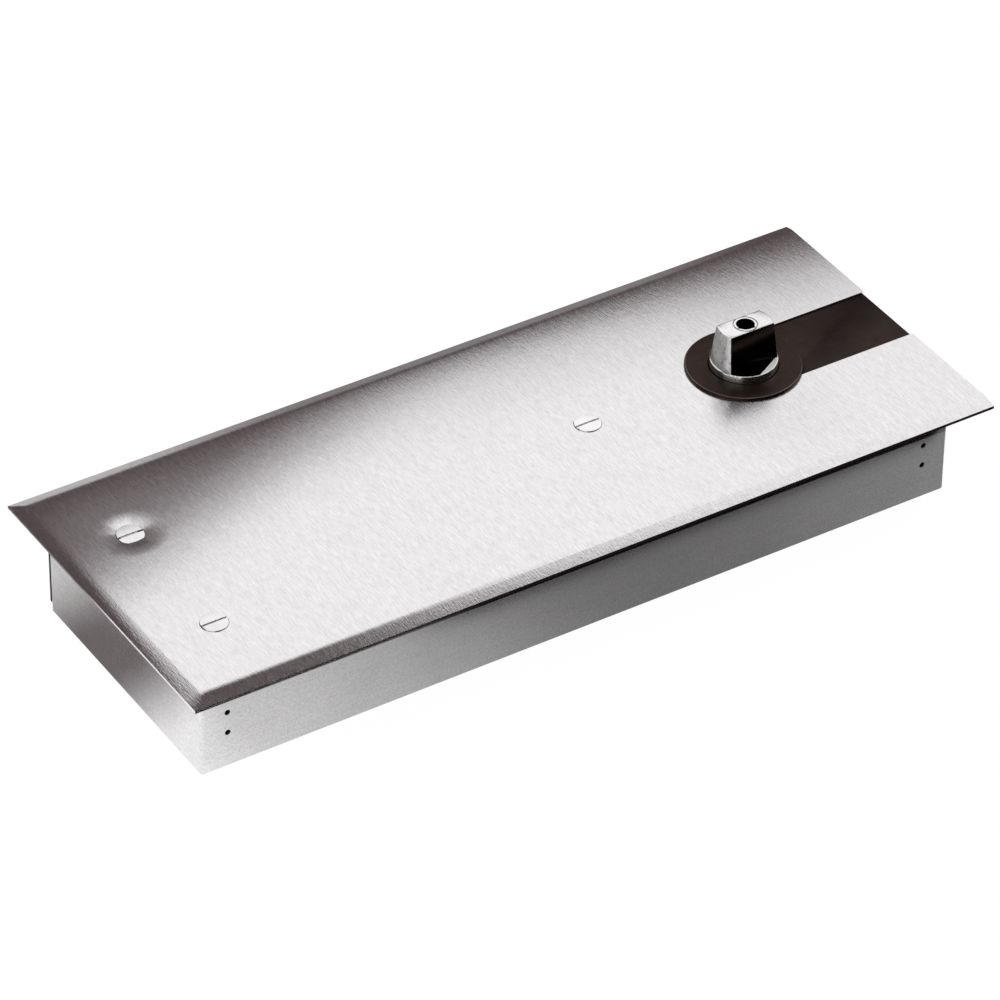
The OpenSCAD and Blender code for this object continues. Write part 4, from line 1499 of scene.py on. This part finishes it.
@dataclass
class CementBox(SubAssembly):
    """The folded sheet box, with its bends, open seams, notches and rivet holes.

    Args:
        x0: place of the far end along the closer.
        x1: place of the spindle end.
        half: half width of the box.
        low: height of the bottom.
        rim: height of the rim.
        sheet: thickness of the sheet.
        bend: outside bend radius of the upright corners.
        foot: rounding of the bottom edges.
        seam: width of an open seam.
        lip: reach of the bend beside a seam.
        notch_r: radius of a bottom corner's notch.
        notch_in: how far a notch's axis lies inside the corner.
        notch_h: height of a notch.
        rivet_r: radius of a rivet hole.
        rivet_x: places of the rivet holes along the closer.
        rivet_z: heights of the rivet holes.
        strip_half: half width of the notch that the slot strip lies in.
        strip_low: height of that notch's foot.
    """

    x0: float = -254.4 * MM
    x1: float = 52.6 * MM
    half: float = 53.2 * MM
    low: float = -40.9 * MM
    rim: float = -0.9 * MM
    sheet: float = 1.2 * MM
    bend: float = 1.5 * MM
    foot: float = 0.3 * MM
    seam: float = 0.6 * MM
    lip: float = 1.9 * MM
    notch_r: float = 1.9 * MM
    notch_in: float = 1.0 * MM
    notch_h: float = 3.6 * MM
    rivet_r: float = 1.1 * MM
    rivet_x: tuple[float, float] = (-243.9 * MM, 42.1 * MM)
    rivet_z: tuple[float, float] = (-26.5 * MM, -17.9 * MM)
    strip_half: float = 20.3 * MM
    strip_low: float = -2.3 * MM

    def shell(self) -> bpy.types.Object:
        """The open tray with rounded corners and foot.

        Returns:
            The tray, still without its seams, notches and holes.
        """
        box = Bench.block("cement_box_folded", (self.x0, -self.half, self.low),
                          (self.x1, self.half, self.rim))
        Bench.pick(box, Pick.EDGE, lambda c, d: abs(d.z) > 0.9)
        bpy.ops.mesh.bevel(offset=self.bend, segments=6, profile=0.5)
        bpy.ops.object.mode_set(mode="OBJECT")
        Bench.pick(box, Pick.EDGE, lambda c, d: c.z < self.low + 0.01 * MM)
        bpy.ops.mesh.bevel(offset=self.foot, segments=4, profile=0.5)
        bpy.ops.object.mode_set(mode="OBJECT")
        Bench.pick(box, Pick.FACE, lambda c, n: n.z > 0.9)
        bpy.ops.mesh.delete(type="FACE")
        bpy.ops.object.mode_set(mode="OBJECT")
        thick = box.modifiers.new("sheet", "SOLIDIFY")
        thick.thickness = self.sheet
        thick.offset = -1
        thick.use_even_offset = True
        Bench.focus(box)
        bpy.ops.object.modifier_apply(modifier=thick.name)
        return box

    def build(self) -> None:
        """Makes the box with its seams, notches and rivet holes."""
        box = self.shell()
        edge = self.half - self.lip - self.seam
        for x, y in ((self.x0, edge), (self.x1, -edge - self.seam)):
            Bench.cut(box, Bench.block("seam", (x - 2 * self.sheet, y, self.low + self.notch_h),
                                       (x + 2 * self.sheet, y + self.seam, 5 * MM)))
        for x in (self.x0 + self.notch_in, self.x1 - self.notch_in):
            Bench.cut(box, Bench.post("notch", self.notch_r, self.low - MM, self.low + self.notch_h,
                                      (x, self.half - self.notch_in), 24))
        Bench.cut(box, Bench.block("strip", (self.x1 - 2 * self.sheet, -self.strip_half, self.strip_low),
                                   (self.x1 + MM, self.strip_half, MM)))
        Bench.clear()
        for x in self.rivet_x:
            for z in self.rivet_z:
                bpy.ops.mesh.primitive_cylinder_add(vertices=24, radius=self.rivet_r, depth=4 * self.half,
                                                    location=(x, 0, z), rotation=(math.pi / 2, 0, 0))
                Bench.cut(box, Bench.named("rivet_hole"))
                Bench.clear()
        Bench.smooth(box, 30)
        self.hand_over(box, BOX, "box_sheet", "cement_box")


@dataclass
class ClosingSprings(SubAssembly):
    """The two closing springs, wound in wire.

    Args:
        joint: the joint whose travel is looked up.
        wires: CAD node, diameter of wire and turns of each.
        wire_sides: sides round the wire.
        steps: steps in one turn.
    """

    joint: str = "carriage_slide"
    wires: tuple[tuple[str, float, int], ...] = (
        ("closing_spring_outer", 4.0 * MM, 12), ("closing_spring_inner", 2.8 * MM, 17))
    wire_sides: int = 10
    steps: int = 28

    def stretch(self, r: float, wire: float, start: float, turns: int, pitch: float) -> bpy.types.Object:
        """Some turns of wire of even pitch about the X axis.

        Args:
            r: mean radius of the coil.
            wire: diameter of the wire.
            start: where the stretch starts along X.
            turns: how many turns it has.
            pitch: advance of one turn.

        Returns:
            The open tube of wire.
        """
        Bench.clear()
        bpy.ops.mesh.primitive_circle_add(vertices=self.wire_sides, radius=wire / 2,
                                          location=(start, 0, r), rotation=(math.pi / 2, 0, 0))
        part = Bench.named("wire")
        Bench.focus(part)
        screw = part.modifiers.new("wind", "SCREW")
        screw.axis = "X"
        screw.angle = math.tau
        screw.screw_offset = pitch
        screw.iterations = turns
        screw.steps = screw.render_steps = self.steps
        bpy.ops.object.modifier_apply(modifier=screw.name)
        return part

    def wind(self, node: str, wire: float, turns: int) -> None:
        """One spring with a closed turn at each end, in the space that its node holds.

        Args:
            node: the CAD node that it stands for.
            wire: diameter of its wire.
            turns: its turns, the closed ones too.
        """
        low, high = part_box(node)
        r = (high.z - low.z) / 2 - wire / 2
        length = high.x - low.x - wire
        inner = length - 2 * wire
        parts = [self.stretch(r, wire, 0, 1, wire),
                 self.stretch(r, wire, wire, turns - 2, inner / (turns - 2)),
                 self.stretch(r, wire, wire + inner, 1, wire)]
        Bench.focus(parts[0])
        for part in parts[1:]:
            part.select_set(True)
        bpy.ops.object.join()
        spring = bpy.context.object
        spring.location = (low.x + wire / 2, 0, (low.z + high.z) / 2)
        spring = Bench.named(node + "_wound")
        bpy.ops.object.mode_set(mode="EDIT")
        bpy.ops.mesh.select_mode(type="EDGE")
        bpy.ops.mesh.select_all(action="SELECT")
        bpy.ops.mesh.remove_doubles(threshold=1e-5)
        bpy.ops.mesh.select_all(action="DESELECT")
        bpy.ops.mesh.select_non_manifold(use_wire=False)
        bpy.ops.mesh.edge_face_add()
        bpy.ops.mesh.select_all(action="SELECT")
        bpy.ops.mesh.normals_make_consistent(inside=False)
        bpy.ops.object.mode_set(mode="OBJECT")
        Bench.smooth(spring, 50)
        self.hand_over(spring, SLOT_FINISH["spring_steel"], "spring_steel", node)
        travel = next(j for j in frame["joints"] if j["name"] == self.joint)["range_m"][1]
        1 - travel / (high.x - low.x)
        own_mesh(spring)

    def build(self) -> None:
        """Winds both."""
        for spring in self.wires:
            self.wind(*spring)


@dataclass
class InnerWorks:
    """The CAD nodes that stay as they are, dressed by their material slots.

    Args:
        special: finish of each node that differs from its slot's finish.
    """

    special: dict[str, Finish] = field(default_factory=lambda: {"bracket_rivets": OXIDE})

    def build(self) -> None:
        """Dresses every node that still shows."""
        slots = {s["node"]: s["material_slot"] for s in frame["record"]["subparts"]}
        for name, obj in frame["nodes"].items():
            if not obj.hide_render:
                self.special.get(name, SLOT_FINISH[slots[name]]).dress(obj)
        log.info("inner works: dressed")


# ---------------------------------------------------------------- studio


FLOOR_Z = -41.0 * MM
CARD_FOOT = FLOOR_Z + 0.4 * MM
DARK_GREY: Colour = (0.100, 0.078, 0.081)
BLACK: Colour = (0.012, 0.009, 0.009)


@dataclass(frozen=True)
class Fade:
    """A soft step of brightness along a direction.

    Args:
        way: direction along which the brightness changes.
        start: distance along it where the step starts.
        end: distance along it where the step ends.
        low: brightness before the step.
        high: brightness after the step.
    """

    way: Point
    start: float
    end: float
    low: float = 0.0
    high: float = 1.0

    def wire(self, g: Graph, where: Wire) -> Wire:
        """The step as a number at each place.

        Args:
            g: the card's graph.
            where: the place.

        Returns:
            The step.
        """
        along = g.add("ShaderNodeVectorMath", {"operation": "DOT_PRODUCT"}, {0: where, 1: self.way},
                      out="Value")
        return g.step(along, self.start, self.end, self.low, self.high)


@dataclass(frozen=True)
class Card:
    """A graded card that only reflections see. A kind of card overrides shade().

    Args:
        name: name of the card.
        corner: one corner.
        across: edge from that corner.
        up: the other edge from that corner.
        dark: its colour where its shade is 0.
        light: its colour where its shade is 1.
    """

    name: str
    corner: Point
    across: Point
    up: Point
    dark: Colour = BLACK
    light: Colour = (1.03, 1.02, 1.025)

    def shade(self, at: Callable[[Fade], Wire]) -> Wire:
        """How light the card is at each place.

        Args:
            at: turns a fade into a number at each place.

        Returns:
            The shade, 0 where the card is dark and 1 where it is light.
        """
        raise NotImplementedError

    def build(self) -> None:
        """Sets the card up in the scene."""
        Bench.clear()
        bpy.ops.mesh.primitive_plane_add(size=1)
        card = Bench.named(self.name)
        for vertex in card.data.vertices:
            a, b = vertex.co.x + 0.5, vertex.co.y + 0.5
            vertex.co = Vector(self.corner) + Vector(self.across) * a + Vector(self.up) * b
        mat = bpy.data.materials.new(self.name)
        g = Graph(mat)
        where = g.place()
        tone = g.blend(self.shade(lambda fade: fade.wire(g, where)), self.dark, self.light)
        glow = g.add("ShaderNodeEmission", {}, {"Color": tone, "Strength": 1.0})
        g.add("ShaderNodeOutputMaterial", {}, {"Surface": glow})
        card.data.materials.append(mat)
        card.visible_camera = False
        card.visible_diffuse = False
        card.visible_shadow = False
        card.visible_transmission = False


@dataclass(frozen=True)
class BackCard(Card):
    """The tall card behind the closer, which its top shows.

    Args:
        rise_low: how it grows light with height at first.
        rise_high: how it grows light with height further up.
        slope: the slanting border of its dark far end.
        far_end: where the dark far end starts.
        far_top: the slanting border of its dark upper corner.
        corner_up: height from which the dark corner is widened.
        corner_far: place from which the dark corner is widened.
        near_end: where the near end grows darker.
        near_low: how much darker the near end is low down.
        near_high: how much darker it is further up.
        veil: faint light over the dark far end.
        strip: the light strip at its foot.
        strip_far: how the strip fades along the closer.
        strip_near: where the strip ends.
    """

    name: str = "back_card"
    corner: Point = (-0.9, 0.12, CARD_FOOT)
    across: Point = (2.1, 0, 0)
    up: Point = (0, 0, 0.60)
    dark: Colour = DARK_GREY
    rise_low: Fade = Fade((-0.048, 0, 1), 0.0525, 0.0650, 0.0, 0.74)
    rise_high: Fade = Fade((-0.048, 0, 1), 0.060, 0.100, 0.0, 0.26)
    slope: Fade = Fade((1, 0, 2.6), 0.0, 0.14)
    far_end: Fade = Fade((1, 0, 0), -0.240, -0.200)
    far_top: Fade = Fade((0.5, 0, -1), -0.356, -0.274)
    corner_up: Fade = Fade((0, 0, 1), 0.20, 0.27)
    corner_far: Fade = Fade((-1, 0, 0), -0.03, 0.07)
    near_end: Fade = Fade((1, 0, 0), 0.02, 0.13)
    near_low: Fade = Fade((0, 0, -1), -0.085, -0.050, 0.0, 0.42)
    near_high: Fade = Fade((0, 0, -1), -0.14, -0.06, 0.02, 0.16)
    veil: Fade = Fade((0, 0, 1), 0.052, 0.066, 0.0, 0.12)
    strip: Fade = Fade((0, 0, -1), -0.040, -0.030, 0.0, 0.36)
    strip_far: Fade = Fade((1, 0, 0), -0.21, -0.12, 1.35, 0.45)
    strip_near: Fade = Fade((1, 0, 0), 0.02, 0.09, 1.0, 0.0)

    def shade(self, at: Callable[[Fade], Wire]) -> Wire:
        """Dark low down, toward the far end and in its upper corner, with a light strip at its foot.

        Args:
            at: turns a fade into a number at each place.

        Returns:
            The shade.
        """
        slope = at(self.slope)
        end = at(self.far_end) * at(self.far_top)
        corner = 1 - at(self.corner_up) * at(self.corner_far)
        near = 1 - at(self.near_end) * (at(self.near_low) + at(self.near_high))
        wall = (at(self.rise_low) + at(self.rise_high)) * slope * end * corner * near
        strip = at(self.strip) * at(self.strip_far) * at(self.strip_near)
        return wall + at(self.veil) * (1 - slope) * end + strip


@dataclass(frozen=True)
class FrontCard(Card):
    """The card on the floor before the closer, which the box's long side shows.

    Args:
        middle: how its grey lightens from the far end to the middle.
        near: how it lightens toward the spindle end.
        far: the white at its far end.
        rim: distance from the closer of its black band.
        rim_end: where that band starts along the closer.
        under: distance from which it is black.
    """

    name: str = "front_card"
    corner: Point = (-0.40, -0.05, CARD_FOOT)
    across: Point = (0.9, 0, 0)
    up: Point = (0, -0.1235, 0)
    middle: Fade = Fade((1, 0, 0), -0.285, -0.07, 0.84, 0.185)
    near: Fade = Fade((1, 0, 0), -0.04, 0.07, 0.0, 0.085)
    far: Fade = Fade((-1, 0, 0), 0.225, 0.255, 0.0, 0.16)
    rim: Fade = Fade((0, -1, 0), 0.0785, 0.0797)
    rim_end: Fade = Fade((1, 0, 0), -0.165, -0.12)
    under: Fade = Fade((0, -1, 0), 0.094, 0.100)

    def shade(self, at: Callable[[Fade], Wire]) -> Wire:
        """White at the far end, grey at the near end, black in two bands along the closer.

        Args:
            at: turns a fade into a number at each place.

        Returns:
            The shade.
        """
        along = at(self.middle) + at(self.near) + at(self.far)
        return along * (1 - at(self.rim) * at(self.rim_end)) * (1 - at(self.under))


@dataclass(frozen=True)
class SideCard(Card):
    """The card on the floor beyond the closer's far end, which the box's short side shows.

    Args:
        near: the white at its front end.
        far: the pale grey at its back end.
        strip: the strip that lights the cut edge of the plate.
        strip_end: where that strip starts.
        least: the least it gives.
    """

    name: str = "side_card"
    corner: Point = (-0.251, -0.06, CARD_FOOT)
    across: Point = (-0.084, 0, 0)
    up: Point = (0, 0.2, 0)
    dark: Colour = DARK_GREY
    near: Fade = Fade((0, -1, 0), -0.012, 0.038, 0.0, 0.93)
    far: Fade = Fade((0, 1, 0), 0.030, 0.074, 0.0, 0.56)
    strip: Fade = Fade((-1, 0, 0), 0.277, 0.284)
    strip_end: Fade = Fade((0, -1, 0), -0.06, -0.03)
    least: float = 0.09

    def shade(self, at: Callable[[Fade], Wire]) -> Wire:
        """A dark band between two light ends, and the strip.

        Args:
            at: turns a fade into a number at each place.

        Returns:
            The shade.
        """
        strip = at(self.strip)
        return at(self.near) + at(self.far) * (1 - strip) + strip * at(self.strip_end) + self.least


@dataclass(frozen=True)
class LowCard(Card):
    """The tall black card far before the closer, which the drive's flats and the plate's cut edge show.

    Args:
        top: its white top.
    """

    name: str = "low_card"
    corner: Point = (-0.5, -0.6, CARD_FOOT)
    across: Point = (1.9, 0, 0)
    up: Point = (0, 0, 1.0)
    top: Fade = Fade((0, 0, 1), 0.80, 0.95)

    def shade(self, at: Callable[[Fade], Wire]) -> Wire:
        """Black, and white at its top."""
        return at(self.top)


@dataclass
class Studio:
    """White room with graded cards, soft light and the camera.

    Args:
        azimuth: the camera's turn about the closer, in degrees.
        elevation: its height over the closer, in degrees.
        roll: its roll, in degrees.
        distance: its distance from the origin along the view.
        aim_x: how far the view's middle lies to the right of the origin.
        aim_y: how far it lies above the origin.
        focal: focal length in millimetres.
        film: width of the film in millimetres.
        shift: shift of the lens across and up.
        sky: strength of the white that camera and reflections see.
        soft_tone: colour of the light on dull surfaces.
        soft: strength of that light.
        floor_tone: colour of the floor where light falls on it.
        floor_glow: strength of the white that it gives off.
        floor_share: how much of what is seen of the floor is that white.
    """

    azimuth: float = -32.699
    elevation: float = 37.495
    roll: float = 0.852
    distance: float = 2032.9 * MM
    aim_x: float = -89.83 * MM
    aim_y: float = -48.195 * MM
    focal: float = 204.9084
    film: float = 36.0
    shift: tuple[float, float] = (0.008143, 0.000753)
    sky: float = 1.0
    soft_tone: Colour = (0.95, 0.95, 0.95)
    soft: float = 0.8
    floor_tone: Colour = (0.90, 0.90, 0.90)
    floor_glow: float = 1.06
    floor_share: float = 0.9

    def camera(self) -> None:
        """The camera, by its angles about the origin and its offset across the view."""
        a, e, roll = (math.radians(v) for v in (self.azimuth, self.elevation, self.roll))
        back = Vector((math.sin(a) * math.cos(e), -math.cos(a) * math.cos(e), math.sin(e)))
        right = (-back).cross(Vector((0, 0, 1))).normalized()
        up = right.cross(-back)
        across = right * math.cos(roll) + up * math.sin(roll)
        over = up * math.cos(roll) - right * math.sin(roll)
        data = bpy.data.cameras.new("camera")
        data.lens = self.focal
        data.sensor_width = self.film
        data.shift_x, data.shift_y = self.shift
        data.clip_start, data.clip_end = 0.05, 50
        cam = bpy.data.objects.new("camera", data)
        bpy.context.scene.collection.objects.link(cam)
        cam.location = back * self.distance + across * self.aim_x + over * self.aim_y
        cam.rotation_mode = "QUATERNION"
        turned = (-back).to_track_quat("-Z", "Y").to_matrix()
        turned.col[0], turned.col[1], turned.col[2] = across, over, back
        cam.rotation_quaternion = turned.to_quaternion()
        bpy.context.scene.camera = cam

    @staticmethod
    def seen(g: Graph) -> Wire:
        """1 where the camera, a reflection or a view through glass looks."""
        rays = ("Is Camera Ray", "Is Glossy Ray", "Is Transmission Ray")
        return sum(g.add("ShaderNodeLightPath", out=ray) for ray in rays)

    def world(self) -> None:
        """White for the camera and for reflections, and softer for the light on dull surfaces."""
        world = bpy.data.worlds.new("studio")
        bpy.context.scene.world = world
        g = Graph(world)
        lit = g.add("ShaderNodeBackground", {}, {"Color": self.soft_tone, "Strength": self.soft})
        white = g.add("ShaderNodeBackground", {}, {"Color": (1.0, 1.0, 1.0), "Strength": self.sky})
        mixed = g.add("ShaderNodeMixShader", {}, {0: self.seen(g), 1: lit, 2: white})
        g.add("ShaderNodeOutputWorld", {}, {"Surface": mixed})

    def floor(self) -> None:
        """A white floor that keeps a faint shadow."""
        Bench.clear()
        bpy.ops.mesh.primitive_plane_add(size=6, location=(0, 0, FLOOR_Z))
        floor = Bench.named("floor")
        mat = bpy.data.materials.new("floor_white")
        g = Graph(mat)
        paint = g.add("ShaderNodeBsdfDiffuse", {}, {"Color": self.floor_tone})
        glow = g.add("ShaderNodeEmission", {}, {"Color": (1.0, 1.0, 1.0), "Strength": self.floor_glow})
        mixed = g.add("ShaderNodeMixShader", {}, {0: self.seen(g) * self.floor_share, 1: paint, 2: glow})
        g.add("ShaderNodeOutputMaterial", {}, {"Surface": mixed})
        floor.data.materials.append(mat)

    def build(self) -> None:
        """Sets up the camera, room and cards."""
        self.camera()
        self.world()
        self.floor()
        for card in (BackCard(), FrontCard(), SideCard(), LowCard()):
            card.build()
        bpy.context.scene.view_settings.view_transform = "Standard"
        log.info("studio: camera, room and cards set")


def main() -> None:
    """Sets the studio, and builds and dresses the closer."""
    assemblies = (Studio(), CoverPlate(), CoverScrews(), SlotTrim(), Spindle(), CementBox(),
                  ClosingSprings(), InnerWorks())
    for assembly in assemblies:
        assembly.build()


if __name__ == "__main__":
    main()
